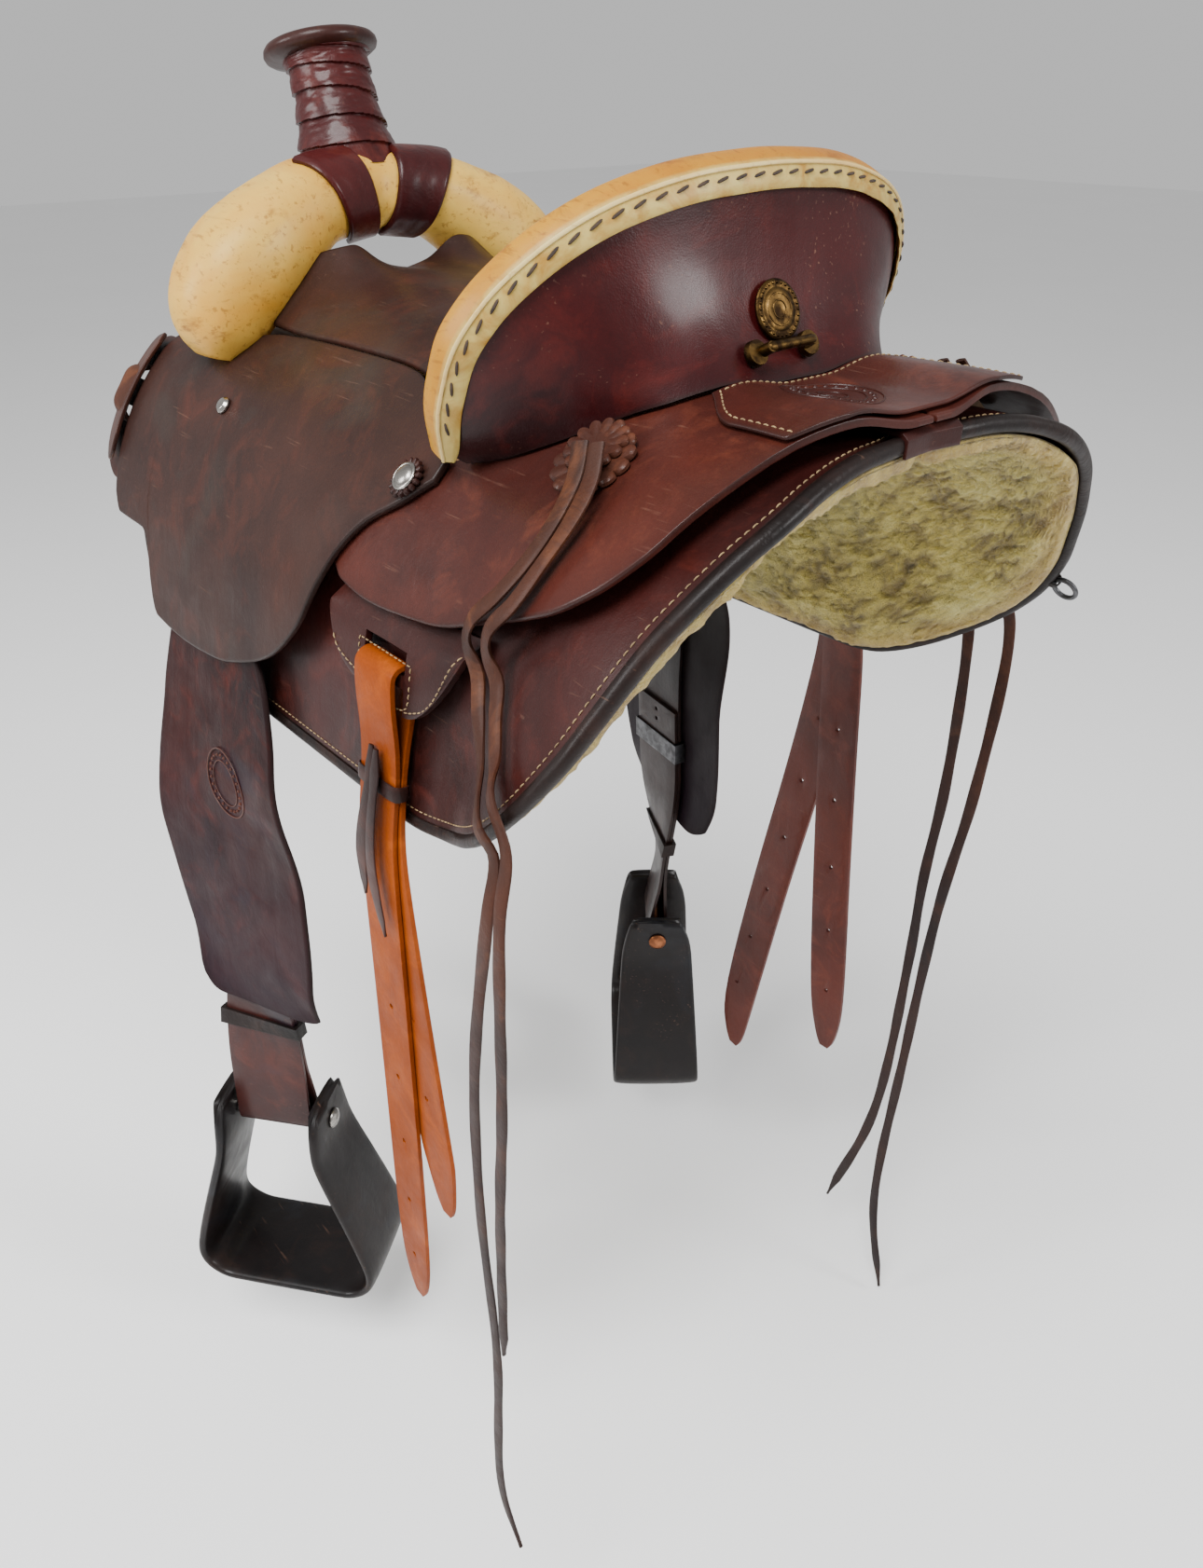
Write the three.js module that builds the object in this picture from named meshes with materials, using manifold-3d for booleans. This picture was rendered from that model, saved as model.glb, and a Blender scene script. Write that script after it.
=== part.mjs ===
import * as THREE from 'three';
import ManifoldModule from 'manifold-3d';

// Western saddle. Millimetres, +Z up, -Y is the front (horn), +X is the left (near) side.
// The origin is the point of the fleece ridge, on the centre plane, that rests on the back.

// ---- driving dimensions ----
const RIDGE = 96;               // outer face of the skirts at the centre plane
const ARC_R = 190;              // radius of the rounded back under the skirts
const WAIST = { flat: 20, tilt: 80, y: 170 };
const REAR = { flat: 45, tilt: 60, y: 330 };
const GAP = 0.4;                // air between touching pieces
const SKIRT_T = 6;
const FLEECE_T = 20;
const LEATHER_T = 4.5;          // jockeys and seat
const FLEECE_GAP = 3.4;         // backing between skirt and fleece
const SEAT_DATUM = RIDGE - SKIRT_T - FLEECE_GAP - FLEECE_T;
const FENDER_T = 4;
const STRAP_W = 76;             // 3 inch stirrup leather
const STRAP_T = 3.6;
const BILLET_W = 44;            // 1 3/4 inch billet
const BILLET_T = 3.4;
const SKIRT_FRONT = -312;
const SKIRT_REAR = 367;
const RIM_R = 10.5;             // roll of the rawhide cantle binding
const HORN_TOP = 288;
const CAP_R = 46;
const PIVOT = { s: 262, y: -125 };    // stud the stirrup leather swings on
const BOLT = { yaw: 39, r: 6 };
const DEG = Math.PI / 180;

// ---- small helpers ----
const wasm = await ManifoldModule();
wasm.setup();
const lerp = (a, b, t) => a + (b - a) * t;
const clamp = (t, a = 0, b = 1) => Math.min(b, Math.max(a, t));
const smooth = (t) => { const k = clamp(t); return k * k * (3 - 2 * k); };
const V = (p) => new THREE.Vector3(p[0], p[1], p[2]);
const mix = (p, q, t) => p.map((c, i) => lerp(c, q[i], t));

// Smooth monotone curve through [x, y] pairs.
function curve(pts) {
  const n = pts.length;
  const d = [];
  for (let i = 0; i < n - 1; i++) d.push((pts[i + 1][1] - pts[i][1]) / (pts[i + 1][0] - pts[i][0]));
  const m = pts.map((_, i) => {
    if (i === 0) return d[0];
    if (i === n - 1) return d[n - 2];
    return d[i - 1] * d[i] <= 0 ? 0 : 2 * d[i - 1] * d[i] / (d[i - 1] + d[i]);
  });
  return (x) => {
    if (x <= pts[0][0]) return pts[0][1];
    if (x >= pts[n - 1][0]) return pts[n - 1][1];
    let i = 0;
    while (x > pts[i + 1][0]) i++;
    const w = pts[i + 1][0] - pts[i][0];
    const t = (x - pts[i][0]) / w;
    const h = t * t * (3 - 2 * t);
    return lerp(pts[i][1], pts[i + 1][1], h)
      + w * t * (1 - t) * ((1 - t) * m[i] - t * m[i + 1]);
  };
}

// Closed geometry from shared vertices, wound outwards.
function solid(pos, idx) {
  let vol = 0;
  const p = (k) => V(pos[k]);
  for (const [a, b, c] of idx) vol += p(a).dot(p(b).cross(p(c)));
  const tri = vol < 0 ? idx.map(([a, b, c]) => [a, c, b]) : idx;
  const g = new THREE.BufferGeometry();
  g.setAttribute('position', new THREE.Float32BufferAttribute(pos.flat(), 3));
  g.setIndex(tri.flat());
  return g;
}

// Solid between two surfaces that share the parameters u and v (0..1).
function slab(nu, nv, outer, inner) {
  const pos = [];
  const idx = [];
  for (const f of [outer, inner]) {
    for (let j = 0; j <= nv; j++) for (let i = 0; i <= nu; i++) pos.push(f(i / nu, j / nv));
  }
  const id = (k, i, j) => k * (nu + 1) * (nv + 1) + j * (nu + 1) + i;
  const quad = (a, b, c, d) => idx.push([a, b, c], [a, c, d]);
  for (let j = 0; j < nv; j++) {
    for (let i = 0; i < nu; i++) {
      quad(id(0, i, j), id(0, i + 1, j), id(0, i + 1, j + 1), id(0, i, j + 1));
      quad(id(1, i, j), id(1, i, j + 1), id(1, i + 1, j + 1), id(1, i + 1, j));
    }
  }
  for (let i = 0; i < nu; i++) {
    quad(id(0, i, 0), id(1, i, 0), id(1, i + 1, 0), id(0, i + 1, 0));
    quad(id(0, i, nv), id(0, i + 1, nv), id(1, i + 1, nv), id(1, i, nv));
  }
  for (let j = 0; j < nv; j++) {
    quad(id(0, 0, j), id(0, 0, j + 1), id(1, 0, j + 1), id(1, 0, j));
    quad(id(0, nu, j), id(1, nu, j), id(1, nu, j + 1), id(0, nu, j + 1));
  }
  return solid(pos, idx);
}

// Solid through closed rings of points; `flat` is the section the two ends are capped with.
function loft(rings, flat = null) {
  const n = rings[0].length;
  const pos = rings.flat();
  const idx = [];
  for (let k = 0; k < rings.length - 1; k++) {
    for (let i = 0; i < n; i++) {
      const a = k * n + i;
      const b = k * n + (i + 1) % n;
      idx.push([a, b, b + n], [a, b + n, a + n]);
    }
  }
  const fan = flat
    ? THREE.ShapeUtils.triangulateShape(flat.map((q) => new THREE.Vector2(...q)), [])
    : Array.from({ length: n - 2 }, (_, i) => [0, i + 1, i + 2]);
  const turn = !flat || THREE.ShapeUtils.area(flat.map((q) => new THREE.Vector2(...q))) > 0;
  const last = (rings.length - 1) * n;
  for (const [a, b, c] of fan) {
    idx.push(turn ? [a, c, b] : [a, b, c]);
    idx.push(turn ? [last + a, last + b, last + c] : [last + a, last + c, last + b]);
  }
  return solid(pos, idx);
}

function toManifold(g) {
  const src = mergeSame(g);
  const mesh = new wasm.Mesh({
    numProp: 3,
    vertProperties: new Float32Array(src.attributes.position.array),
    triVerts: new Uint32Array(src.index.array),
  });
  mesh.merge();
  return new wasm.Manifold(mesh);
}

// Shares vertices that lie on one point and drops empty triangles.
function mergeSame(source) {
  const g = source.index ? source.toNonIndexed() : source;
  const p = g.attributes.position;
  const seen = new Map();
  const pos = [];
  const order = [];
  for (let i = 0; i < p.count; i++) {
    const q = [p.getX(i), p.getY(i), p.getZ(i)];
    const key = q.map((c) => Math.round(c * 1e4)).join();
    if (!seen.has(key)) { seen.set(key, pos.length); pos.push(q); }
    order.push(seen.get(key));
  }
  const idx = [];
  for (let i = 0; i < order.length; i += 3) idx.push(order.slice(i, i + 3));
  return solid(pos, idx.filter(([a, b, c]) => a !== b && b !== c && a !== c));
}

function fromManifold(m) {
  const mesh = m.getMesh();
  const g = new THREE.BufferGeometry();
  g.setAttribute('position', new THREE.Float32BufferAttribute(mesh.vertProperties, 3));
  g.setIndex(Array.from(mesh.triVerts));
  return g;
}

const cut = (g, ...tools) => fromManifold(
  tools.reduce((m, t) => m.subtract(toManifold(t)), toManifold(g)));
const join = (...gs) => fromManifold(
  gs.slice(1).reduce((m, t) => m.add(toManifold(t)), toManifold(gs[0])));

// Keeps the largest body after a cut.
function biggest(g) {
  const bodies = toManifold(g).decompose();
  bodies.sort((a, b) => b.volume() - a.volume());
  return fromManifold(bodies[0]);
}

function mirror(g) {
  const m = (g.index ? g : mergeSame(g)).clone();
  m.scale(-1, 1, 1);
  const i = Array.from(m.index.array);
  for (let k = 0; k < i.length; k += 3) [i[k + 1], i[k + 2]] = [i[k + 2], i[k + 1]];
  m.setIndex(i);
  return m;
}

// ---- the back of the saddle as a surface: s along it from the ridge, y fore and aft, h outwards ----
function profile(y) {
  const k = smooth((y - WAIST.y) / (REAR.y - WAIST.y));
  return [lerp(WAIST.flat, REAR.flat, k), lerp(WAIST.tilt, REAR.tilt, k) * DEG];
}

function flank(s, y, h) {
  const [a, th] = profile(y);
  const side = s < 0 ? -1 : 1;
  const d = Math.abs(s);
  if (d <= a) return [s, y, RIDGE + h];
  const t = Math.min((d - a) / ARC_R, th);
  const run = Math.max(d - a - ARC_R * th, 0);
  return [side * (a + (ARC_R + h) * Math.sin(t) + run * Math.cos(th)), y,
    RIDGE - ARC_R + (ARC_R + h) * Math.cos(t) - run * Math.sin(th)];
}

function flankNormal(s, y) {
  const p = flank(s, y, 0);
  const q = flank(s, y, 1);
  return q.map((c, i) => c - p[i]);
}

// A layer of leather on that surface, between two curves s(y).
function layer(y0, y1, sLow, sHigh, h0, h1, nu, nv) {
  const at = (h) => (u, v) => {
    const y = lerp(y0, y1, (1 - Math.cos(Math.PI * u)) / 2);
    const s = lerp(sLow(y), sHigh(y), v);
    return flank(s, y, typeof h === 'function' ? h(s, y) : h);
  };
  return slab(nu, nv, at(h1), at(h0));
}

// A disc or scalloped plate lying on the surface.
function onFlank(g, s, y, h, spin = 0) {
  const n = V(flankNormal(s, y)).normalize();
  const fore = new THREE.Vector3(0, 1, 0);
  const across = new THREE.Vector3().crossVectors(fore, n);
  const m = new THREE.Matrix4().makeBasis(across, fore, n);
  const out = g.clone().rotateZ(spin).applyMatrix4(m);
  return out.translate(...flank(s, y, h));
}

// ---- fork, horn ----
const forkX = curve([[0, 0], [0.25, 50], [0.45, 90], [0.65, 126], [0.8, 147], [0.92, 156], [1, 159]]);
const forkZ = curve([[0, 181], [0.25, 176], [0.45, 158], [0.65, 132], [0.8, 106], [0.92, 84], [1, 72]]
  .map(([a, b]) => [a, -b]));
const forkA = curve([[0, 31], [0.25, 33], [0.45, 38], [0.65, 43], [0.8, 40], [0.92, 28], [1, 13]]);
const forkB = curve([[0, 34], [0.3, 40], [0.6, 46], [0.85, 40], [1, 22]]);
const forkY = curve([[0, -232], [0.5, -216], [1, -212]]);

function forkPoint(t, phi, off = 0) {
  const k = Math.abs(t);
  const side = t < 0 ? -1 : 1;
  const e = 0.01;
  const dx = forkX(Math.min(k + e, 1)) - forkX(Math.max(k - e, 0));
  const dz = -forkZ(Math.min(k + e, 1)) + forkZ(Math.max(k - e, 0));
  const l = Math.hypot(dx, dz);
  const out = k < e ? [0, 1] : [-dz / l, dx / l];
  const a = forkA(k) + off;
  const b = forkB(k) + off;
  const c = Math.cos(phi);
  const s = Math.sin(phi);
  const r = Math.pow(Math.pow(Math.abs(c), 2.5) + Math.pow(Math.abs(s), 2.5), -0.4);
  return [side * (forkX(k) + out[0] * a * r * c), forkY(k) + b * r * s, -forkZ(k) + out[1] * a * r * c];
}

function forkSolid(off, nt = 22, np = 14) {
  const rings = [];
  for (let j = 0; j <= nt; j++) {
    const t = lerp(-1, 1, j / nt);
    rings.push(Array.from({ length: np }, (_, i) => forkPoint(t, 2 * Math.PI * i / np, off)));
  }
  return loft(rings);
}

const HORN = [[-246, 192, 40], [-254, 212, 37], [-260, 232, 33], [-265, 252, 31], [-270, 268, 31.5],
  [-274, 279, 35]];

function hornRing(k, grow, n = 16) {
  const [y, z, r] = HORN[k];
  const lean = 14 * DEG;
  return Array.from({ length: n }, (_, i) => {
    const a = 2 * Math.PI * i / n;
    const q = (r + grow) * Math.sin(a);
    return [(r + grow) * Math.cos(a), y + q * Math.cos(lean), z + q * Math.sin(lean)];
  });
}

// Post and cap are one casting, standing on the fork.
function horn() {
  const post = loft(HORN.map((_, k) => hornRing(k, -6)));
  return biggest(cut(join(post, hornCap()), forkSolid(GAP)));
}

function hornWrap() {
  const rings = [];
  const steps = 12;
  const at = (f, grow) => {
    const k = Math.min(Math.floor(f), HORN.length - 2);
    const a = hornRing(k, grow);
    const b = hornRing(k + 1, grow);
    return a.map((p, i) => mix(p, b[i], f - k));
  };
  for (let j = 0; j <= steps; j++) {
    const f = lerp(0, HORN.length - 1, j / steps);
    rings.push(at(f, 1.5 + 1.6 * Math.abs(Math.sin(j * 1.1))));
  }
  const bore = HORN.map((_, k) => hornRing(k, -6 + GAP));
  bore.unshift(bore[0].map(([x, y, z]) => [x, y, z - 8]));
  bore.push(bore[bore.length - 1].map(([x, y, z]) => [x, y, z + 8]));
  return biggest(cut(loft(rings), loft(bore), forkSolid(4.4), hornCap(0.6)));
}

function hornCap(grow = 0) {
  const n = 24;
  const lean = 14 * DEG;
  const rows = [[0, 34], [2, 42], [7, CAP_R], [12, CAP_R - 1], [14, CAP_R - 5]];
  const rings = rows.map(([up, edge]) => Array.from({ length: n }, (_, i) => {
    const a = 2 * Math.PI * i / n;
    const r = edge + grow;
    const q = r * (Math.sin(a) < 0 ? 1.16 : 1) * Math.sin(a);
    return [r * Math.cos(a), -277 + q * Math.cos(lean) - up * Math.sin(lean),
      HORN_TOP - 14 - grow + q * Math.sin(lean) + up * Math.cos(lean)];
  }));
  return loft(rings);
}

// Rawhide-coloured wedge stays free between these two straps that run down the fork.
function hornStrap() {
  const at = (off) => (u, v) => {
    const t = lerp(0.05 - 0.02 * v, 0.3 - 0.12 * v, u);
    return forkPoint(t, lerp(28, 152, v) * DEG, off);
  };
  return slab(4, 9, at(3.6), at(1.2));
}

// ---- cantle and seat ----
const RIM = [[0, 222, 219], [52, 219, 216], [100, 211, 206], [132, 201, 192], [154, 189, 175],
  [170, 177, 156], [179, 164, 133], [179, 151, 106], [169, 138, 74]];
const rimX = curve(RIM.map((p, i) => [i / 8, p[0]]));
const rimY = curve(RIM.map((p, i) => [i / 8, p[1]]));
const rimZ = curve(RIM.map((p, i) => [i / 8, p[2]]));
const baseS = curve([[0, 0], [0.25, 48], [0.45, 82], [0.6, 100], [0.75, 120], [0.9, 143], [1, 156]]);
const baseY = curve([[0, 256], [0.25, 258], [0.45, 246], [0.6, 228], [0.75, 204], [0.9, 168], [1, 134]]);

function rim(u) {
  const k = Math.abs(u);
  return [(u < 0 ? -1 : 1) * rimX(k), rimY(k), rimZ(k)];
}

function cantleBase(u, h) {
  const k = Math.abs(u);
  return flank((u < 0 ? -1 : 1) * baseS(k), baseY(k), h);
}

// Directions at the rim: `down` towards the base, `back` out of the cantle's rear face.
function rimFrame(u) {
  const e = 0.01;
  const c = V(rim(u));
  const along = V(rim(Math.min(u + e, 1))).sub(V(rim(Math.max(u - e, -1)))).normalize();
  const toBase = V(cantleBase(u * 0.86, 20)).sub(c).normalize();
  const back = new THREE.Vector3().crossVectors(toBase, along).normalize();
  if (back.y < 0) back.negate();
  const down = new THREE.Vector3().crossVectors(along, back).normalize();
  if (down.dot(toBase) < 0) down.negate();
  return { c, along, back, down };
}

function rimPoint(u, a, b) {
  const f = rimFrame(u);
  return f.c.addScaledVector(f.down, a).addScaledVector(f.back, b).toArray();
}

// Point of the cantle's rear face: v 0 at the rim, 1 at the base.
function cantleFace(u, v, b) {
  const w = u * 0.985;
  const top = rimPoint(w, 1.2, b);
  const foot = cantleBase(w, backH(baseS(Math.abs(w))) + LEATHER_T + 1.9);
  const f = rimFrame(w);
  const bulge = 9 * Math.sin(Math.PI * v) * smooth(Math.abs(u) * 2.2) * (1 - Math.pow(Math.abs(u), 4));
  const lift = f.back.clone().multiplyScalar(bulge + (b - 3.6) * v).toArray();
  const flare = [v, lerp(v, Math.pow(v, 3), 1 - Math.pow(Math.abs(u), 3)), v];
  return top.map((c, i) => lerp(c, foot[i], flare[i]) + lift[i]);
}

function cantleBack() {
  const g = slab(20, 5, (u, v) => cantleFace(2 * u - 1, v, 8), (u, v) => cantleFace(2 * u - 1, v, 3.6));
  return biggest(cut(g, bindingCut, seatCut));
}

function cantleBoard() {
  const g = slab(16, 4, (u, v) => cantleFace((2 * u - 1) * 0.9, 0.8 * v, 1.6),
    (u, v) => cantleFace((2 * u - 1) * 0.9, 0.8 * v, -8.5));
  return biggest(cut(g, bindingCut, seatCut));
}

function cantleBinding() {
  const flat = [[0, -14], [-5, -13], [-9, -8.5], [-RIM_R, -2], [-9, 4.5], [-5, 9], [0, 11],
    [7, 11.2], [13, 11], [13.4, 8.9], [7, 8.7], [0.4, 8.5]];
  const rings = [];
  const n = 30;
  for (let k = 0; k <= n; k++) {
    const u = lerp(-1, 1, k / n);
    const end = 1 - 0.45 * Math.pow(Math.abs(u), 24);
    rings.push(flat.map(([a, b]) => rimPoint(u, a > 0.5 ? a * end : a, b)));
  }
  return loft(rings, flat);
}

// Seat rows from the cantle rim forward to the fork, each a curve from the centre to the edge.
const seamS = curve([[-176, 117], [-156, 114], [-68, 109], [0, 108], [29, 110], [80, 129], [130, 152]]);

function seatRow(k, u) {
  const w = Math.abs(u);
  const side = u < 0 ? -1 : 1;
  if (k === 0) return rimPoint(u * 0.97, 1.6, -14.6);
  if (k === 1) {
    const p = rimPoint(u * 0.95, 48 - 22 * w ** 3, -17);
    return p;
  }
  const rows = { 2: [98, 40, 2.2], 3: [40, 24, 2], 4: [-60, 27, 2], 5: [-130, 34, 2] };
  if (k === 6) {
    const x = w * 122;
    const z = curve([[0, 126], [20, 132], [50, 149], [75, 143], [95, 125], [122, 97]])(x);
    return [side * x, -178 + 18 * w, z];
  }
  const [y, hc, p] = rows[k];
  const yy = y + (k === 2 ? 20 * w : 0);
  return flank(side * w * seamS(yy), yy, hc + (24 - hc) * Math.pow(w, p));
}

function seatPoint(u, v) {
  const f = v * 6;
  const k = Math.min(Math.floor(f), 5);
  const t = f - k;
  const row = (j) => seatRow(clamp(j, 0, 6), u);
  const [a, b, c, d] = [row(k - 1), row(k), row(k + 1), row(k + 2)];
  return b.map((_, i) => 0.5 * (2 * b[i] + (c[i] - a[i]) * t
    + (2 * a[i] - 5 * b[i] + 4 * c[i] - d[i]) * t * t
    + (3 * b[i] - a[i] - 3 * c[i] + d[i]) * t ** 3));
}

function seatOffset(u, v, depth) {
  const e = 0.004;
  const du = V(seatPoint(clamp(u + e, -1, 1), v)).sub(V(seatPoint(clamp(u - e, -1, 1), v)));
  const dv = V(seatPoint(u, clamp(v + e))).sub(V(seatPoint(u, clamp(v - e))));
  const n = dv.cross(du).normalize();
  return V(seatPoint(u, v)).addScaledVector(n, -depth).toArray();
}

function seatLeather() {
  return slab(14, 12, (u, v) => seatOffset(2 * u - 1, v, 0), (u, v) => seatOffset(2 * u - 1, v, LEATHER_T));
}

function groundSeat() {
  const at = (d) => (u, v) => seatOffset((2 * u - 1) * 6 / 7, (3 + 8 * v) / 12, d);
  return slab(12, 8, at(LEATHER_T + 1), at(LEATHER_T + 6));
}

// ---- leather on the flanks (left side; the right side is its mirror) ----
const skirtHigh = curve([[-312, 230], [-308, 285], [-300, 318], [-285, 348], [-262, 371], [-230, 384],
  [-180, 388], [150, 388], [200, 377], [243, 363], [276, 347], [298, 328], [323, 289], [333, 263],
  [342, 237], [349, 213], [357, 186], [363, 158], [366, 136], [367, 124]]);
const skirtLow = curve([[-312, 150], [-300, 90], [-280, 56], [-240, 40], [150, 36], [210, 8], [240, 1.5],
  [350, 1.5], [352, 10], [358, 50], [363, 85], [366, 108], [367, 116]]);

function skirt(inset, h0, h1, nu, nv) {
  const g = layer(SKIRT_FRONT + inset, SKIRT_REAR - inset, skirtLow, (y) => skirtHigh(y) - inset,
    h0, h1, nu, nv);
  return biggest(cut(g, skirtEdge(0.6)));
}

// Rolled edge: runs from the ridge at the rear, round the corner and forward along the bottom.
function skirtEdge(grow = 0) {
  const path = [[4, 350.4], [30, 356], [60, 360], [95, 364.5], [128, 367], [158, 363], [186, 357],
    [213, 349], [237, 342], [263, 333], [289, 323], [312, 310], [329, 297], [347, 276], [363, 243],
    [377, 200], [387, 155], [388, 110], [388, 40], [388, -60], [388, -180], [383, -230], [370, -262],
    [348, -285], [318, -300], [285, -308.5], [232, -312]];
  const flat = [[-5.4, -7.2], [0, -7.6], [1.6, -5.4], [2, -3], [1.6, -0.6], [0, 1.6], [-5.4, 1.4]]
    .map(([a, h]) => [a + grow * Math.sign(a + 2), h + grow * Math.sign(h + 3) * 1.5]);
  const line = [...path.slice().reverse().map(([s, y]) => [-s, y]), ...path];
  const rings = line.map(([s, y], k) => {
    const p = line[Math.max(k - 1, 0)];
    const q = line[Math.min(k + 1, line.length - 1)];
    const l = Math.hypot(q[0] - p[0], q[1] - p[1]);
    const out = [-(q[1] - p[1]) / l, (q[0] - p[0]) / l];
    return flat.map(([a, h]) => flank(s + out[0] * a, y + out[1] * a, h));
  });
  return loft(rings, flat);
}

const backHigh = curve([[54, 240], [65, 248], [101, 252], [165, 247], [223, 235], [283, 222], [310, 206],
  [329, 180], [335, 158], [342, 126], [346, 92], [354, 43], [358, 14]]);
const backLow = curve([[54, 234], [64, 220], [80, 192], [113, 162], [128, 156], [170, 116], [200, 30],
  [215, 1.5], [358, 1.5]]);
// The back jockeys dip between the bars at the centre.
const backH = (s) => lerp(6.4, 13, smooth((Math.abs(s) - 15) / 45));
const jockeyHigh = curve([[-309, 272], [-300, 290], [-250, 291], [-240, 300], [-232, 343], [-222, 359],
  [-170, 363], [-106, 358], [-53, 343], [-16, 326], [24, 291], [49, 253], [63, 231], [82, 210],
  [108, 192], [128, 174]]);
const jockeyLow = curve([[-309, 160], [-300, 144], [-255, 140], [-180, 122], [-156, 117], [-68, 112],
  [-4, 111], [29, 113], [80, 133], [110, 149], [128, 162]]);

function seatJockey(fork, rimCut) {
  const g = layer(-309, 128, jockeyLow, jockeyHigh, 19, 24, 18, 4);
  return biggest(cut(g, fork, rimCut));
}

function treeBar(fork) {
  const low = curve([[-268, 60], [-255, 34], [80, 34], [125, 84], [285, 84], [300, 92]]);
  const high = curve([[-268, 120], [-250, 172], [-150, 176], [60, 150], [230, 178], [290, 160], [300, 120]]);
  return biggest(cut(layer(-268, 300, low, high, 2.6, 9, 12, 4), fork));
}

function rigBase(s) { return lerp(GAP, 9.6, smooth((s - 244) / 20)); }

// Rear rigging plate with the slot the billet hangs through, and a notch under the slot's bar.
const SLOT = { s: 287, y: 127, h: 12.1 };
const slotAlong = V(flank(315, SLOT.y + 22, 0)).sub(V(flank(315, SLOT.y - 22, 0))).normalize();
const slotOut = V(flank(340, SLOT.y, 0)).sub(V(flank(290, SLOT.y, 0))).cross(slotAlong).normalize();
const slotDown = slotAlong.clone().cross(slotOut).normalize();
const SLOT_AT = V(flank(SLOT.s, SLOT.y, SLOT.h));
function rearPlate() {
  const low = curve([[54, 262], [62, 246], [70, 243], [216, 243]]);
  const high = curve([[54, 268], [60, 285], [69, 297], [100, 305], [150, 312], [170, 306], [183, 296],
    [205, 264], [216, 248]]);
  const g = layer(54, 216, low, high, (s) => rigBase(s), (s) => rigBase(s) + 5, 8, 5);
  const box = (s0, s1) => new THREE.BoxGeometry(s1 - s0, BILLET_W + 5, 40)
    .translate((s0 + s1) / 2, 0, 0)
    .applyMatrix4(new THREE.Matrix4().makeBasis(slotDown, slotAlong, slotOut))
    .translate(SLOT_AT.x, SLOT_AT.y, SLOT_AT.z);
  return biggest(cut(g, box(-20, -4.5), box(4.5, 44)));
}

function frontPlate() {
  const low = curve([[-262, 276], [-252, 264], [-162, 264], [-152, 276]]);
  const high = curve([[-262, 312], [-246, 342], [-206, 354], [-166, 342], [-152, 312]]);
  return layer(-262, -152, low, high, 1.2, 5.4, 8, 3);
}

function overlayPatch() {
  const half = curve([[264, 72], [305, 97], [343, 97], [352, 62]]);
  const h = (s) => backH(s) + LEATHER_T + 1.8;
  return layer(264, 352, (y) => -half(y), half, h, (s) => h(s) + 2.4, 8, 12);
}

function rearWrap() {
  const flat = [[334, 1.9], [352, 1.9], [354.5, 0], [354.5, -9], [356.6, -9], [357, 1.4], [353, 4.6],
    [334, 4.4]];
  const rings = [];
  for (let k = 0; k <= 8; k++) {
    const s = lerp(-24, 24, k / 8);
    const shift = 0.12 * Math.abs(s);
    rings.push(flat.map(([y, h]) => flank(s, y + shift, h)));
  }
  return loft(rings, flat);
}

// ---- small trim ----
function scalloped(r, lobes, depth, hole = true) {
  const shape = new THREE.Shape();
  const n = lobes * 3;
  for (let i = 0; i < n; i++) {
    const a = 2 * Math.PI * i / n;
    const q = r - 2.2 + 2.2 * Math.abs(Math.cos(a * lobes / 2));
    if (i) shape.lineTo(q * Math.cos(a), q * Math.sin(a));
    else shape.moveTo(q, 0);
  }
  const disc = mergeSame(new THREE.ExtrudeGeometry(shape, { depth, bevelEnabled: false }));
  const slots = [-6, 6].map((x) => new THREE.BoxGeometry(3.2, 16, 30).translate(x, 0, 0));
  return hole ? cut(disc, ...slots) : disc;
}

function dome(r, tall, n = 14) {
  const pts = [[0, 0], [r, 0], [r, tall * 0.35], [r * 0.7, tall * 0.85], [0, tall]]
    .map((q) => new THREE.Vector2(...q));
  return mergeSame(new THREE.LatheGeometry(pts, n).rotateX(Math.PI / 2));
}

function cantlePlace(g, u, v, b) {
  const e = 0.02;
  const p = V(cantleFace(u, v, b));
  const du = V(cantleFace(u + e, v, b)).sub(V(cantleFace(u - e, v, b))).normalize();
  const dv = V(cantleFace(u, v - e, b)).sub(V(cantleFace(u, v + e, b))).normalize();
  const n = new THREE.Vector3().crossVectors(du, dv).normalize();
  if (n.y < 0) { n.negate(); du.negate(); }
  const up = new THREE.Vector3().crossVectors(n, du).normalize();
  return g.clone().applyMatrix4(new THREE.Matrix4().makeBasis(du, up, n)).translate(p.x, p.y, p.z);
}

function medallion() {
  const pts = [[0, 0], [17, 0], [17.6, 1.6], [16, 3], [13.4, 2.4], [12.4, 2.4], [11, 3.2], [6, 3.2],
    [4, 2.6], [0, 2.6]].map((q) => new THREE.Vector2(...q));
  const g = mergeSame(new THREE.LatheGeometry(pts, 20).rotateX(Math.PI / 2));
  return cantlePlace(g, 0.02, 0.68, 10);
}

function footmanLoop() {
  const rod = new THREE.CapsuleGeometry(3, 34, 2, 8).rotateZ(Math.PI / 2).translate(0, 0, 10);
  const parts = [mergeSame(rod)];
  for (const x of [-22, 22]) {
    parts.push(mergeSame(new THREE.CylinderGeometry(7.5, 8, 4, 12).rotateX(Math.PI / 2).translate(x, 0, 2)));
    parts.push(mergeSame(new THREE.CylinderGeometry(3.4, 4, 10, 8).rotateX(Math.PI / 2)
      .translate(x * 0.8, 0, 6)));
  }
  return cantlePlace(join(...parts), 0.05, 0.86, 11.2);
}

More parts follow.
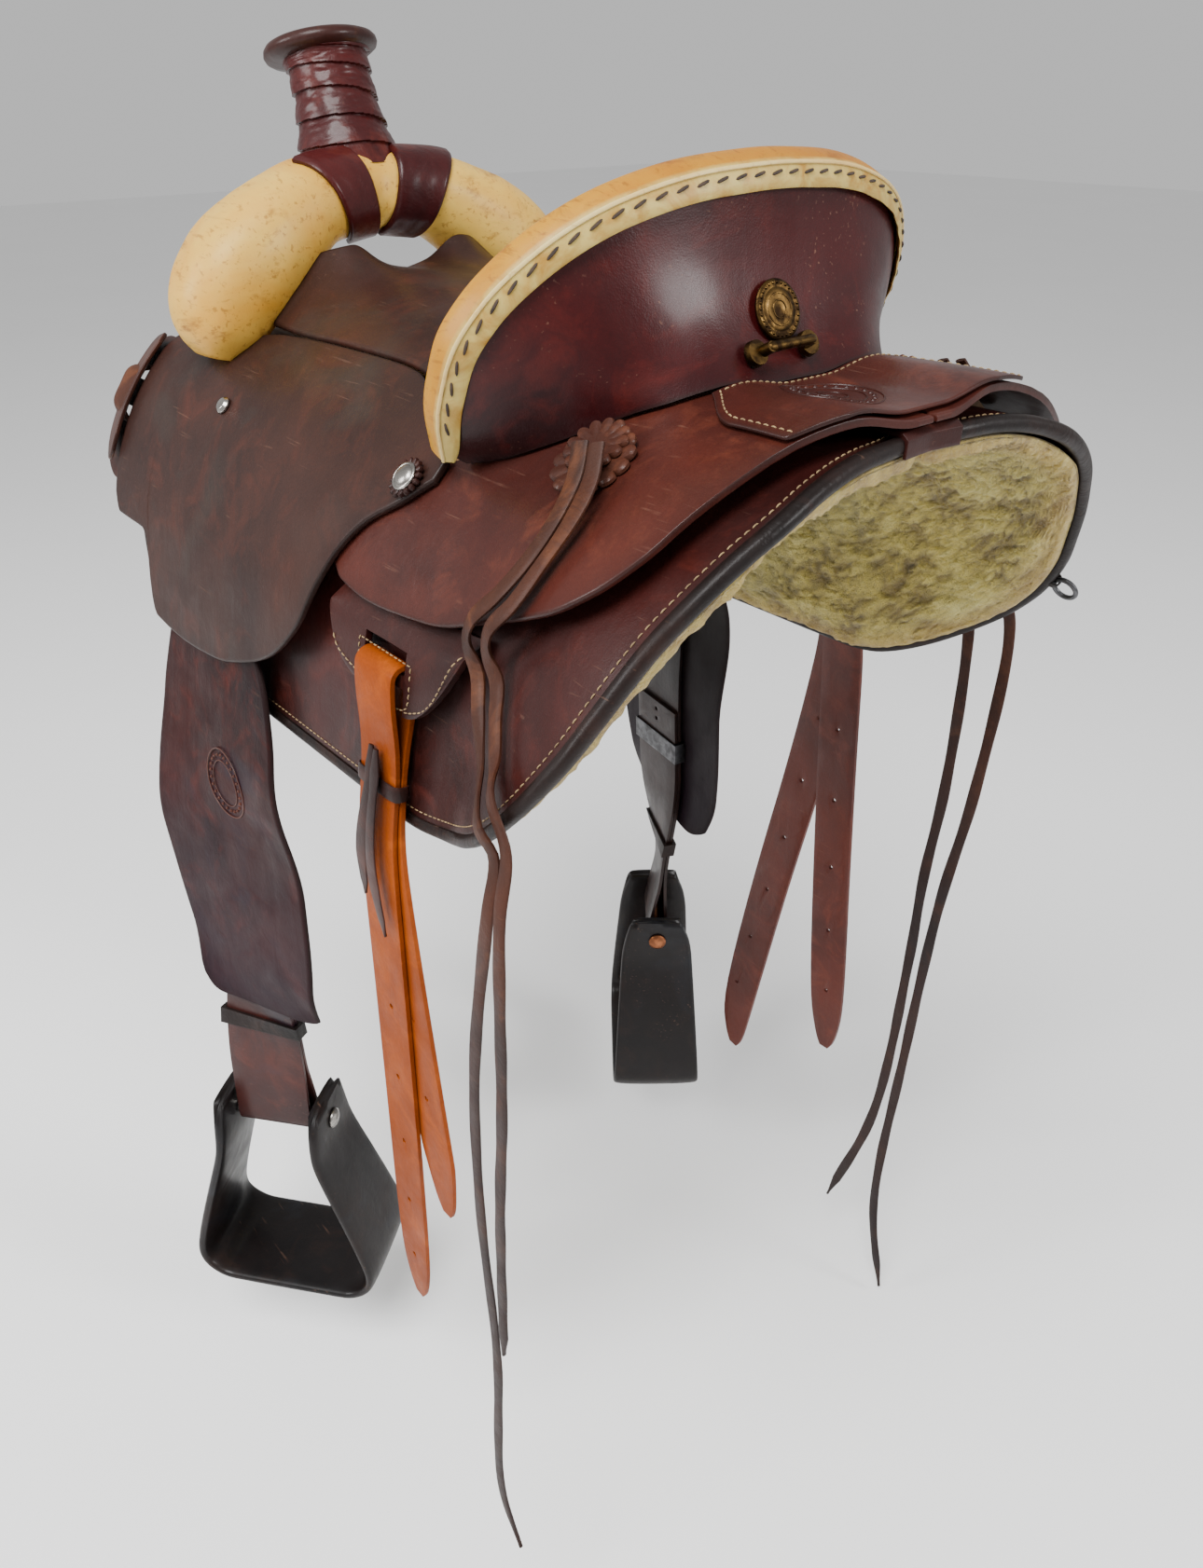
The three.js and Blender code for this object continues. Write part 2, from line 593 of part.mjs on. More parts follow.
// Leather keeper in front of the fork that stows the end of the latigo.
function latigoKeeper() {
  const low = curve([[-356, 172], [-350, 154], [-332, 144], [-308, 146], [-296, 156]]);
  const high = curve([[-356, 240], [-350, 256], [-334, 268], [-312, 268], [-296, 256]]);
  const plate = layer(-356, -296, low, high, 12, 16, 10, 6);
  const slots = [180, 216].map((s) => onFlank(new THREE.BoxGeometry(14, 34, 30), s, -328, 14));
  return cut(plate, ...slots);
}

// ---- fender, stirrup leather and stirrup, hanging from a stud on the tree bar ----
const TILT = WAIST.tilt * DEG;
const outFlank = new THREE.Vector3(Math.sin(TILT), 0, Math.cos(TILT));
const arcEnd = WAIST.flat + ARC_R * TILT;
const PIVOT_AT = V(flank(arcEnd, PIVOT.y, 8.4))
  .add(new THREE.Vector3(Math.cos(TILT), 0, -Math.sin(TILT)).multiplyScalar(PIVOT.s - arcEnd));

// Centre line of the stirrup leather, d along it from the pivot.
const HANG = { flat: 150, bend: 90, bolt: 600 };
function hangAngle(d) { return lerp(TILT, 87.5 * DEG, smooth((d - HANG.flat) / HANG.bend)); }
const hangTable = (() => {
  const step = 4;
  const pts = [PIVOT_AT.clone()];
  for (let d = 0; d < 640; d += step) {
    const a = hangAngle(d + step / 2);
    pts.push(pts[pts.length - 1].clone().add(new THREE.Vector3(Math.cos(a), 0, -Math.sin(a))
      .multiplyScalar(step)));
  }
  return { step, pts };
})();

function hang(d) {
  const { step, pts } = hangTable;
  const k = clamp(d / step, 0, pts.length - 2);
  const i = Math.floor(k);
  const p = pts[i].clone().lerp(pts[i + 1], k - i);
  const a = hangAngle(d);
  if (d < 0) p.add(new THREE.Vector3(Math.cos(a), 0, -Math.sin(a)).multiplyScalar(d));
  const yaw = BOLT.yaw * DEG * (0.26 * smooth((d - 160) / 130) + 0.74 * smooth((d - 385) / 150));
  const up = new THREE.Vector3(0, 0, 1);
  const out = new THREE.Vector3(Math.sin(a), 0, Math.cos(a)).applyAxisAngle(up, -yaw);
  const w = new THREE.Vector3(0, -1, 0).applyAxisAngle(up, yaw);
  out.addScaledVector(w, -out.dot(w)).normalize();
  return { p, w, out };
}

function hangPoint(d, across, off) {
  const f = hang(d);
  return f.p.addScaledVector(f.w, across).addScaledVector(f.out, off).toArray();
}

function hangBox(d0, d1, half, o0, o1, nd = 3) {
  const at = (o) => (u, v) => hangPoint(lerp(d0, d1, v), lerp(-half, half, u), o);
  return slab(2, nd, at(o1), at(o0));
}

const fenderOff = (d) => lerp(3, 5.4, smooth((d - 130) / 90));
function fender() {
  const front = curve([[20, 40], [60, 62], [110, 92], [170, 106], [250, 106], [330, 92], [400, 74],
    [440, 62]]);
  const rear = curve([[20, 40], [60, 60], [110, 88], [170, 101], [250, 103], [330, 103], [400, 98],
    [446, 88]]);
  const at = (t) => (u, v) => {
    const a = 2 * u - 1;
    const foot = 448 + 4 * a - 16 * Math.pow(Math.abs(a), 8);
    const top = 20 + 4 * Math.pow(Math.abs(a), 8);
    const d = lerp(top, foot, (1 - Math.cos(Math.PI * v)) / 2);
    const half = (a > 0 ? front : rear)(d) * (1 - 0.12 * smooth((d - 425) / 30));
    return hangPoint(d, a * half, fenderOff(d) + t);
  };
  return slab(6, 16, at(FENDER_T), at(0));
}

const U_TURN = 9 + GAP + STRAP_T / 2;
function stirrupLeather() {
  const rings = [];
  const t = STRAP_T / 2;
  const ring = (p, w, n, half = STRAP_W / 2) => rings.push([[-1, -1], [1, -1], [1, 1], [-1, 1]]
    .map(([a, b]) => p.clone().addScaledVector(w, a * half).addScaledVector(n, b * t).toArray()));
  const low = [390, 415, 440, 465, 490, 515, 535, 552, HANG.bolt];
  for (const d of [-18, 0, 30, 80, 120, 150, 165, 180, 195, 210, 225, 240, 270, 300, 340, ...low]) {
    const f = hang(d);
    ring(f.p, f.w, f.out, d < -10 ? 30 : 38);
  }
  const e = hang(HANG.bolt);
  const c = e.p.clone().addScaledVector(e.out, -U_TURN);
  const down = new THREE.Vector3().crossVectors(e.out, e.w).normalize();
  if (down.z > 0) down.negate();
  for (let k = 1; k <= 7; k++) {
    const a = Math.PI * k / 8;
    const n = e.out.clone().multiplyScalar(Math.cos(a)).addScaledVector(down, Math.sin(a));
    ring(c.clone().addScaledVector(n, U_TURN), e.w, n);
  }
  for (const d of [...low.reverse(), 360, 330, 300]) {
    const f = hang(d);
    const off = lerp(-STRAP_T - 0.8, -2 * U_TURN, smooth((d - HANG.bolt + 80) / 80));
    ring(f.p.clone().addScaledVector(f.out, off), f.w, f.out.clone().negate());
  }
  const hole = new THREE.CylinderGeometry(7.5, 7.5, 30, 16);
  const q = new THREE.Quaternion().setFromUnitVectors(new THREE.Vector3(0, 1, 0), outFlank);
  hole.applyQuaternion(q).translate(PIVOT_AT.x, PIVOT_AT.y, PIVOT_AT.z);
  const punched = [310, 322].map((d) => {
    const g = new THREE.CylinderGeometry(2.6, 2.6, 5, 8);
    const f = hang(d);
    const r = new THREE.Quaternion().setFromUnitVectors(new THREE.Vector3(0, 1, 0), f.out);
    return mergeSame(g.applyQuaternion(r).translate(...hangPoint(d, 0, -4.4)));
  });
  return biggest(cut(loft(rings), mergeSame(hole), ...punched));
}

function pivotStud() {
  const pts = [[0, -7.2], [16, -7.2], [16, -5.6], [7, -4.6], [7, 2.4], [12, 2.4], [12, 4.6], [8, 6], [0, 6]]
    .map((q) => new THREE.Vector2(...q));
  const g = mergeSame(new THREE.LatheGeometry(pts, 14));
  const q = new THREE.Quaternion().setFromUnitVectors(new THREE.Vector3(0, 1, 0), outFlank);
  return g.applyQuaternion(q).translate(PIVOT_AT.x, PIVOT_AT.y, PIVOT_AT.z);
}

const INNER = -STRAP_T * 1.5 - 0.8;
function buckleSleeve() {
  return cut(hangBox(338, 362, 41.5, INNER - 2.2, STRAP_T / 2 + 2.1),
    hangBox(330, 370, 38.8, INNER - 0.6, STRAP_T / 2 + 0.6));
}

function hobbleStrap() {
  return cut(hangBox(470, 486, 43, INNER - 3.4, STRAP_T / 2 + 3.2, 4),
    hangBox(460, 496, 39, INNER - 0.6, STRAP_T / 2 + 0.5, 8));
}

// Stirrup in its own frame: w across between the legs, q along the bolt's outward direction, z up.
const STIRRUP = { top: 26, wide: 50, foot: 96, tread: -210, t: 13, deep: [76, 108] };
function stirrupFrame() {
  const e = hang(HANG.bolt);
  const c = e.p.clone().addScaledVector(e.out, -U_TURN);
  const w = e.w.clone();
  const q = new THREE.Vector3().crossVectors(w, new THREE.Vector3(0, 0, 1)).normalize();
  if (q.x < 0) q.negate();
  return { c, w, q };
}

function toStirrup(g) {
  const { c, w, q } = stirrupFrame();
  const z = new THREE.Vector3().crossVectors(w, q);
  const m = new THREE.Matrix4().makeBasis(w, q, z);
  const out = g.clone().applyMatrix4(m).translate(c.x, c.y, c.z);
  return m.determinant() < 0 ? mergeSame(out) : out;
}

function stirrup() {
  const { top, wide, foot, tread, t, deep } = STIRRUP;
  const half = [[wide, top], [wide, -15], [wide + 2, -34], [wide + 13, -68], [wide + 29, -117],
    [foot - 5, -158], [foot - 1, -178], [foot - 4, -193], [foot - 14, tread + 7], [foot - 26, tread + 1],
    [foot - 36, tread], [0, tread]];
  const line = [...half.map(([x, z]) => [-x, z]), ...half.slice(0, -1).reverse()];
  const rings = line.map(([x, z], k) => {
    const a = line[Math.max(k - 1, 0)];
    const b = line[Math.min(k + 1, line.length - 1)];
    const l = Math.hypot(b[0] - a[0], b[1] - a[1]);
    const n = [(b[1] - a[1]) / l, -(b[0] - a[0]) / l];
    if (Math.abs(z - tread) < 0.5) { n[0] = 0; n[1] = -1; }
    const low = clamp((top - z) / (top - tread));
    const d = lerp(deep[0], deep[1], Math.pow(low, 0.8)) / 2 - (z > top - 1 ? 5 : 0);
    const c = 4.2;
    return [[-d, c - t / 2], [-d, t / 2 - c], [c - d, t / 2], [d - c, t / 2], [d, t / 2 - c], [d, c - t / 2],
      [d - c, -t / 2], [c - d, -t / 2]].map(([q, o]) => [x + n[0] * o, q, z + n[1] * o]);
  });
  const drill = new THREE.CylinderGeometry(BOLT.r + 0.4, BOLT.r + 0.4, 160, 20).rotateZ(Math.PI / 2);
  return toStirrup(cut(loft(rings), mergeSame(drill)));
}

function stirrupBolt() {
  const s = STIRRUP.wide + STIRRUP.t / 2 + GAP;
  const m = STIRRUP.wide - STIRRUP.t / 2 - GAP;
  const pts = [[0, -s - 5], [7, -s - 4.4], [10.5, -s - 2], [10.5, -s], [BOLT.r, -s], [BOLT.r, -m], [8.4, -m],
    [8.4, m], [BOLT.r, m], [BOLT.r, s], [10.5, s], [10.5, s + 2], [7, s + 4.4], [0, s + 5]]
    .map((q) => new THREE.Vector2(...q));
  return toStirrup(mergeSame(new THREE.LatheGeometry(pts, 14).rotateZ(-Math.PI / 2)));
}

// ---- rear billet: one strap folded over the bar of the plate's slot, two tails ----
const LOOP_R = 7.6 + BILLET_T / 2;
const BILLET_H = 10;           // the folded tails lie this far off the skirt

function billetLine(q, off, drift) {
  const p = SLOT_AT.clone().addScaledVector(slotOut, BILLET_H - SLOT.h);
  const n = 24;
  const turn = (x) => (90 - Math.asin(-slotDown.z) / DEG) * DEG * smooth((x - 84) / 70);
  for (let i = 0; i < n; i++) {
    const a = turn(q * (i + 0.5) / n);
    p.addScaledVector(slotDown, q / n * Math.cos(a)).addScaledVector(slotOut, -q / n * Math.sin(a));
  }
  p.y += drift * Math.pow(clamp((q - 60) / 500), 1.3);
  const a = turn(q);
  const out = slotOut.clone().multiplyScalar(Math.cos(a)).addScaledVector(slotDown, Math.sin(a));
  return { p: p.addScaledVector(out, off), out };
}

function rearBillet(outer, inner) {
  const rings = [];
  const ring = (p, n, half, w = slotAlong) => rings.push([[-1, -1], [1, -1], [1, 1], [-1, 1]]
    .map(([a, b]) => p.clone().addScaledVector(w, a * half).addScaledVector(n, b * BILLET_T / 2)
      .toArray()));
  const tail = (t, side, fwd) => {
    const stops = [0, 20, 45, 70, 90, 110, 130, 160, 230, 320, 400, t.length - 60, t.length - 24,
      t.length - 8, t.length].filter((q, i, all) => q <= t.length && (i === 0 || q > all[i - 1]));
    const list = fwd ? stops.slice(1) : stops.slice(1).reverse();
    for (const q of list) {
      const near = smooth((q - 4) / 60);
      const off = lerp(SLOT.h - BILLET_H + side * LOOP_R, side * 2.1, near);
      const { p, out } = billetLine(q, off, t.drift);
      const end = t.length - q;
      const half = BILLET_W / 2 * (end < 60 ? lerp(0.24, 1, Math.pow(end / 60, 0.6)) : 1);
      const lean = t.drift / 500 * smooth((q - 60) / 200) * 0.9;
      const w = slotAlong.clone().applyAxisAngle(out, lean).normalize();
      ring(p, out.clone().multiplyScalar(side), half, w);
    }
  };
  tail(outer, 1, false);
  for (let k = 0; k <= 8; k++) {
    const a = Math.PI * k / 8;
    const n = slotOut.clone().multiplyScalar(Math.cos(a)).addScaledVector(slotDown, -Math.sin(a));
    ring(SLOT_AT.clone().addScaledVector(n, LOOP_R), n, BILLET_W / 2);
  }
  tail(inner, -1, true);
  const holes = [];
  for (const [t, side] of [[outer, 1], [inner, -1]]) {
    for (let q = 200; q < t.length - 50; q += 75) {
      const { p, out } = billetLine(q, 2.1 * side, t.drift);
      const g = new THREE.CylinderGeometry(2.7, 2.7, 5, 5);
      g.applyQuaternion(new THREE.Quaternion().setFromUnitVectors(new THREE.Vector3(0, 1, 0), out));
      holes.push(mergeSame(g.translate(p.x, p.y, p.z)));
    }
  }
  return biggest(cut(loft(rings), ...holes));
}

function billetBox(q0, q1, half, o0, o1, drift) {
  const at = (o) => (u, v) => {
    const { p } = billetLine(lerp(q0, q1, v), o, drift);
    return p.addScaledVector(slotAlong, lerp(-half, half, u)).toArray();
  };
  return slab(2, 2, at(o1), at(o0));
}

function billetKeeper(drift) {
  const band = cut(billetBox(72, 84, 26, -7.2, 7.2, drift), billetBox(68, 88, 23.4, -5, 5, drift));
  const laces = [-7, 5].map((y, i) => {
    const at = (o) => (u, v) => {
      const { p } = billetLine(lerp(62, 130 + 30 * i + 40 * v, v), lerp(o, o + 2, v), drift);
      return p.addScaledVector(slotAlong, y + lerp(-5, 5, u) * (1 - 0.5 * v) + 5 * (2 * i - 1) * v).toArray();
    };
    return slab(2, 6, at(9.4), at(6.2));
  });
  return join(band, ...laces);
}

// ---- hanging strings (cords) ----
function thong(points, wide = 11, thick = 3.4, steps = 24) {
  const shape = new THREE.Shape();
  for (let i = 0; i < 8; i++) {
    const a = 2 * Math.PI * (i + 0.5) / 8;
    const q = [thick / 2 * Math.cos(a), wide / 2 * Math.sin(a)];
    if (i) shape.lineTo(...q);
    else shape.moveTo(...q);
  }
  const path = new THREE.CatmullRomCurve3(points.map(V), false, 'centripetal');
  return mergeSame(new THREE.ExtrudeGeometry(shape, { steps, extrudePath: path, bevelEnabled: false }));
}

// From the slots of the rosette over the jockey and the skirt, then straight down.
function rearString(side, shift, over, skirtRun, drop) {
  const rosette = [[141, 248, 38], [156, 255, 30], [176, 259, 26.5]]
    .map(([s, y, h]) => flank(s, y + shift, h));
  const on = over.map(([s, y]) => flank(s, y, 24.6));
  const last = skirtRun.length - 1;
  const edge = skirtRun.map(([s, y], k) => flank(s, y, k === 0 ? 15 : k < last ? 7.4 : 11.5));
  return thong([...rosette, ...on, ...edge, ...drop].map(([x, y, z]) => [side * x, y, z]));
}

// ---- clearance tools ----
const forkCut = forkSolid(1);
const bindingCut = (() => {
  const flat = [[3, -15.2], [-6, -14.2], [-10.2, -9], [-RIM_R - 1, -2], [-10.2, 5.2], [-6, 10], [0, 12],
    [14.4, 12], [14.4, 4], [3, 4]];
  const rings = [];
  for (let k = 0; k <= 18; k++) rings.push(flat.map(([a, b]) => rimPoint(lerp(-1.004, 1.004, k / 18), a, b)));
  return loft(rings, flat);
})();

const seatCut = slab(14, 12, (u, v) => seatOffset(2 * u - 1, v, -1),
  (u, v) => seatOffset(2 * u - 1, v, LEATHER_T + 0.6));

// ---- assembly ----
const saddle = new THREE.Group();
saddle.name = 'saddle';
const COLORS = {
  seat: [0x4a2a22, 0.38, 0], oxblood: [0x43171a, 0.35, 0], jockey: [0x5a241c, 0.42, 0],
  skirt: [0x3b1416, 0.4, 0], edge: [0x17100f, 0.5, 0], rawhide: [0xdcbf86, 0.5, 0],
  binding: [0xc8924a, 0.45, 0], fleece: [0x9d9446, 0.95, 0], wood: [0x9a6a36, 0.7, 0],
  brass: [0x8a6a35, 0.4, 0.9], silver: [0xc9c7c0, 0.3, 1], steel: [0x35343a, 0.45, 0.9],
  tan: [0xb4501e, 0.45, 0], mahogany: [0x6e2a18, 0.45, 0], thong: [0x42241a, 0.6, 0],
  stirrup: [0x201a1c, 0.45, 0], fender: [0x3f1f1e, 0.4, 0], horn: [0x3d1518, 0.4, 0],
};
function add(name, geometry, slot) {
  const [color, roughness, metalness] = COLORS[slot];
  const g = geometry.clone();
  g.translate(0, 0, -SEAT_DATUM);
  g.computeVertexNormals();
  const mesh = new THREE.Mesh(g, new THREE.MeshStandardMaterial({ color, roughness, metalness }));
  mesh.name = name;
  mesh.material.name = slot;
  saddle.add(mesh);
}
function pair(name, g, slot) {
  add(`${name}_left`, g, slot);
  add(`${name}_right`, mirror(g), slot);
}

pair('tree_bar', treeBar(forkCut), 'wood');
add('fork', forkSolid(0), 'rawhide');
add('horn_wrap', hornWrap(), 'horn');
add('horn', horn(), 'horn');
pair('horn_wrap_strap', hornStrap(), 'horn');
add('ground_seat', biggest(cut(groundSeat(), forkCut)), 'edge');
add('seat_leather', biggest(cut(seatLeather(), forkCut, bindingCut)), 'seat');
pair('seat_jockey', seatJockey(forkCut, bindingCut), 'seat');
add('cantle_board', cantleBoard(), 'wood');
add('cantle_back', cantleBack(), 'oxblood');
add('cantle_binding', cantleBinding(), 'binding');
add('cantle_medallion', medallion(), 'brass');
add('footman_loop', footmanLoop(), 'brass');
pair('back_jockey', layer(54, 358, backLow, backHigh, backH, (s) => backH(s) + LEATHER_T, 18, 6), 'jockey');
add('jockey_overlay', overlayPatch(), 'jockey');
pair('skirt', skirt(6, -SKIRT_T, 0, 22, 6), 'skirt');
pair('fleece', skirt(5, -SKIRT_T - FLEECE_GAP - FLEECE_T, -SKIRT_T - FLEECE_GAP, 18, 6), 'fleece');
add('skirt_edge', skirtEdge(), 'edge');
add('skirt_rear_wrap', rearWrap(), 'skirt');
pair('rear_rigging_plate', rearPlate(), 'skirt');
pair('front_rigging_plate', frontPlate(), 'skirt');
pair('rear_rosette', onFlank(scalloped(25, 13, 3.6), 139, 246, 20.6, 0.2), 'thong');
pair('seat_rosette', onFlank(scalloped(14, 12, 2.4, false), 179, 107, 26), 'thong');
pair('seat_concho', onFlank(dome(9.5, 3.4), 179, 107, 28.8), 'silver');
pair('front_screw', onFlank(dome(7, 4.2), 182, -155, 24.8), 'silver');
pair('latigo_keeper', latigoKeeper(), 'thong');
pair('stirrup_stud', pivotStud(), 'steel');
pair('fender', fender(), 'fender');
pair('stirrup_leather', stirrupLeather(), 'fender');
pair('buckle_sleeve', buckleSleeve(), 'steel');
pair('hobble_strap', hobbleStrap(), 'edge');
pair('stirrup', stirrup(), 'stirrup');
pair('stirrup_bolt', stirrupBolt(), 'steel');
const BILLETS = {
  left: [{ length: 630, drift: -24 }, { length: 470, drift: 46 }],
  right: [{ length: 670, drift: -100 }, { length: 575, drift: 34 }],
};
add('rear_billet_left', rearBillet(...BILLETS.left), 'tan');
add('rear_billet_right', mirror(rearBillet(...BILLETS.right)), 'mahogany');
add('billet_keeper_left', billetKeeper(-24), 'thong');
add('rear_string_left_a', rearString(1, 0, [[198, 255], [219, 242], [233, 226]],
  [[247, 214], [262, 222], [282, 232], [311, 253], [340, 285]],
  [[258, 296, -98], [267, 300, -130], [268, 274, -269], [268, 267, -405], [268, 273, -555],
    [268, 264, -758], [268, 286, -810]]), 'thong');
add('rear_string_left_b', rearString(1, 14, [[200, 269], [222, 261], [236, 248]],
  [[249, 240], [262, 247], [282, 256], [306, 272], [322, 288]],
  [[256, 305, -92], [267, 312, -125], [268, 302, -285], [268, 292, -381], [268, 283, -545]]), 'thong');
add('rear_string_right_a', rearString(-1, 0, [[198, 255], [219, 242], [233, 226]],
  [[247, 220], [275, 224], [312, 232], [345, 238], [362, 240]],
  [[252, 243, -150], [255, 242, -280], [254, 236, -383], [254, 235, -473], [254, 222, -698],
    [254, 178, -866]]), 'thong');
add('rear_string_right_b', rearString(-1, 14, [[202, 271], [224, 268], [242, 264]],
  [[262, 258], [275, 254], [312, 262], [340, 266], [356, 268]],
  [[266, 271, -138], [260, 268, -280], [256, 256, -400], [256, 246, -600], [256, 240, -834],
    [256, 264, -947]]), 'thong');

export default saddle;
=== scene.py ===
import math

import bmesh
import bpy
import numpy as np
from mathutils import Matrix, Vector, kdtree, noise


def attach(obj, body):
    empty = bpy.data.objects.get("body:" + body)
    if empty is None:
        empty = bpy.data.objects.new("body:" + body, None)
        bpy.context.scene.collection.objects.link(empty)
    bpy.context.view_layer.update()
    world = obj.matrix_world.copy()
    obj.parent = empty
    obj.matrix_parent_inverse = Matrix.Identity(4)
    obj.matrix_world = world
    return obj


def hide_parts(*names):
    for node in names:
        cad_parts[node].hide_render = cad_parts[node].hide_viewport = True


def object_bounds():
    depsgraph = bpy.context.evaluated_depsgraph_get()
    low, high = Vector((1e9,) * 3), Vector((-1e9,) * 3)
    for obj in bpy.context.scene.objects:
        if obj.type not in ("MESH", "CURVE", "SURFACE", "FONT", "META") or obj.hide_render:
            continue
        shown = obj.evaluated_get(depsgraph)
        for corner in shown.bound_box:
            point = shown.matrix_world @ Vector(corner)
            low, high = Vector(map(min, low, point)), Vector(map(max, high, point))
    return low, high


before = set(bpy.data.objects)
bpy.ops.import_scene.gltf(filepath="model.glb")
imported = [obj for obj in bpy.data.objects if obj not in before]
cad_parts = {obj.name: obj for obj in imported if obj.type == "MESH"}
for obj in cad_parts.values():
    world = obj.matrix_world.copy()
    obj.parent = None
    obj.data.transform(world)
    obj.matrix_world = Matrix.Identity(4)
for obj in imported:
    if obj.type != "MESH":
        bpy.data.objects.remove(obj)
cad_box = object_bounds()

# Western saddle. Shapes are worked out in millimetres in a working frame whose zero is DATUM
# above the fleece ridge, and are turned into metres in the row frame when a mesh is made.

RIDGE, ARC_R = 96.0, 190.0
WAIST = (20.0, 80.0, 170.0)      # half of the flat ridge, tilt in degrees, y where it starts to change
REAR = (45.0, 60.0, 330.0)
SKIRT_T, FLEECE_T, LEATHER_T = 6.0, 20.0, 4.5
FLEECE_GAP = 3.4
DATUM = RIDGE - SKIRT_T - FLEECE_GAP - FLEECE_T
FENDER_T = 4.0
SKIRT_FRONT, SKIRT_REAR = -312.0, 367.0
HORN_TOP = 288.0
SIDES = (("left", 1.0), ("right", -1.0))


# ---- camera: at the left rear, looking forward and down ----
CAMERA_AT = (0.5492, 0.7424, 0.2006)
CAMERA_YAW, CAMERA_PITCH, CAMERA_ROLL = 39.42, 31.1, -0.37
CAMERA_LENS, CAMERA_FILM = 27.3, 36.0


def add_camera():
    data = bpy.data.cameras.new("camera")
    cam = bpy.data.objects.new("camera", data)
    bpy.context.scene.collection.objects.link(cam)
    yaw, pitch, roll = (math.radians(a) for a in (CAMERA_YAW, CAMERA_PITCH, CAMERA_ROLL))
    ahead = Vector((-math.sin(yaw) * math.cos(pitch), -math.cos(yaw) * math.cos(pitch), -math.sin(pitch)))
    right = Vector((-math.cos(yaw), math.sin(yaw), 0))
    up = right.cross(ahead)
    turn = Matrix((right, up, -ahead)).transposed().to_4x4()
    cam.matrix_world = Matrix.Translation(CAMERA_AT) @ turn @ Matrix.Rotation(roll, 4, "Z")
    data.sensor_fit = "VERTICAL"
    data.sensor_height = CAMERA_FILM
    data.lens = CAMERA_LENS
    data.clip_end = 50
    bpy.context.scene.camera = cam


add_camera()


# ---- small maths ----
def lerp(a, b, t):
    return a + (b - a) * t


def smooth(t):
    k = np.clip(t, 0, 1)
    return k * k * (3 - 2 * k)


def curve(pts):
    """Smooth monotone curve through (x, y) pairs, for arrays too."""
    xs, ys = np.array([p[0] for p in pts], float), np.array([p[1] for p in pts], float)
    d = np.diff(ys) / np.diff(xs)
    m = np.zeros(len(xs))
    m[0], m[-1] = d[0], d[-1]
    for i in range(1, len(xs) - 1):
        if d[i - 1] * d[i] > 0:
            m[i] = 2 * d[i - 1] * d[i] / (d[i - 1] + d[i])

    def at(x):
        x = np.clip(np.asarray(x, float), xs[0], xs[-1])
        i = np.clip(np.searchsorted(xs, x, side="right") - 1, 0, len(xs) - 2)
        w = xs[i + 1] - xs[i]
        t = (x - xs[i]) / w
        h = t * t * (3 - 2 * t)
        return lerp(ys[i], ys[i + 1], h) + w * t * (1 - t) * ((1 - t) * m[i] - t * m[i + 1])
    return at


def unit(v):
    v = np.asarray(v, float)
    return v / (np.linalg.norm(v, axis=-1, keepdims=True) + 1e-12)


def facing(v, way):
    """v, turned round if it points away from way."""
    return -v if np.dot(v, way) < 0 else v


def blunt(v, power):
    """The size of v raised to a power, with the sign of v."""
    return np.sign(v) * np.abs(v) ** power


def catmull(points, per=10):
    """Dense points along a smooth centripetal curve through the given ones."""
    p = np.array(points, float)
    p = np.vstack([2 * p[0] - p[1], p, 2 * p[-1] - p[-2]])
    out = []
    for i in range(1, len(p) - 2):
        a, b, c, d = p[i - 1], p[i], p[i + 1], p[i + 2]
        t = [max(np.linalg.norm(q - r) ** 0.5, 1e-4) for q, r in ((b, a), (c, b), (d, c))]
        m1 = ((b - a) / t[0] - (c - a) / (t[0] + t[1]) + (c - b) / t[1]) * t[1]
        m2 = ((c - b) / t[1] - (d - b) / (t[1] + t[2]) + (d - c) / t[2]) * t[1]
        for k in range(per):
            x = k / per
            out.append((2 * x**3 - 3 * x**2 + 1) * b + (x**3 - 2 * x**2 + x) * m1
                       + (3 * x**2 - 2 * x**3) * c + (x**3 - x**2) * m2)
    out.append(p[-2])
    return np.array(out)


def run_length(p):
    """Length along a line up to each of its points."""
    return np.concatenate([[0], np.cumsum(np.linalg.norm(np.diff(p, axis=0), axis=1))])


def along(run, values, at):
    """Vectors given at each length in run, read off at other lengths."""
    return np.stack([np.interp(at, run, values[:, k]) for k in range(3)], -1)


def resample(points, step):
    p = np.array(points, float)
    run = run_length(p)
    return along(run, p, np.linspace(0, run[-1], max(int(round(run[-1] / step)), 1) + 1))


def circle(n):
    """Cosine and sine of n even steps round a turn."""
    t = 2 * np.pi * np.arange(n) / n
    return np.stack([np.cos(t), np.sin(t)], 1)


def bunched(n):
    """n steps from 0 to 1 that are closer together at both ends."""
    return (1 - np.cos(np.pi * np.linspace(0, 1, n))) / 2


def eased(a):
    """One pass of smoothing along the first axis that keeps the two ends."""
    a[1:-1] = (a[:-2] + 2 * a[1:-1] + a[2:]) / 4


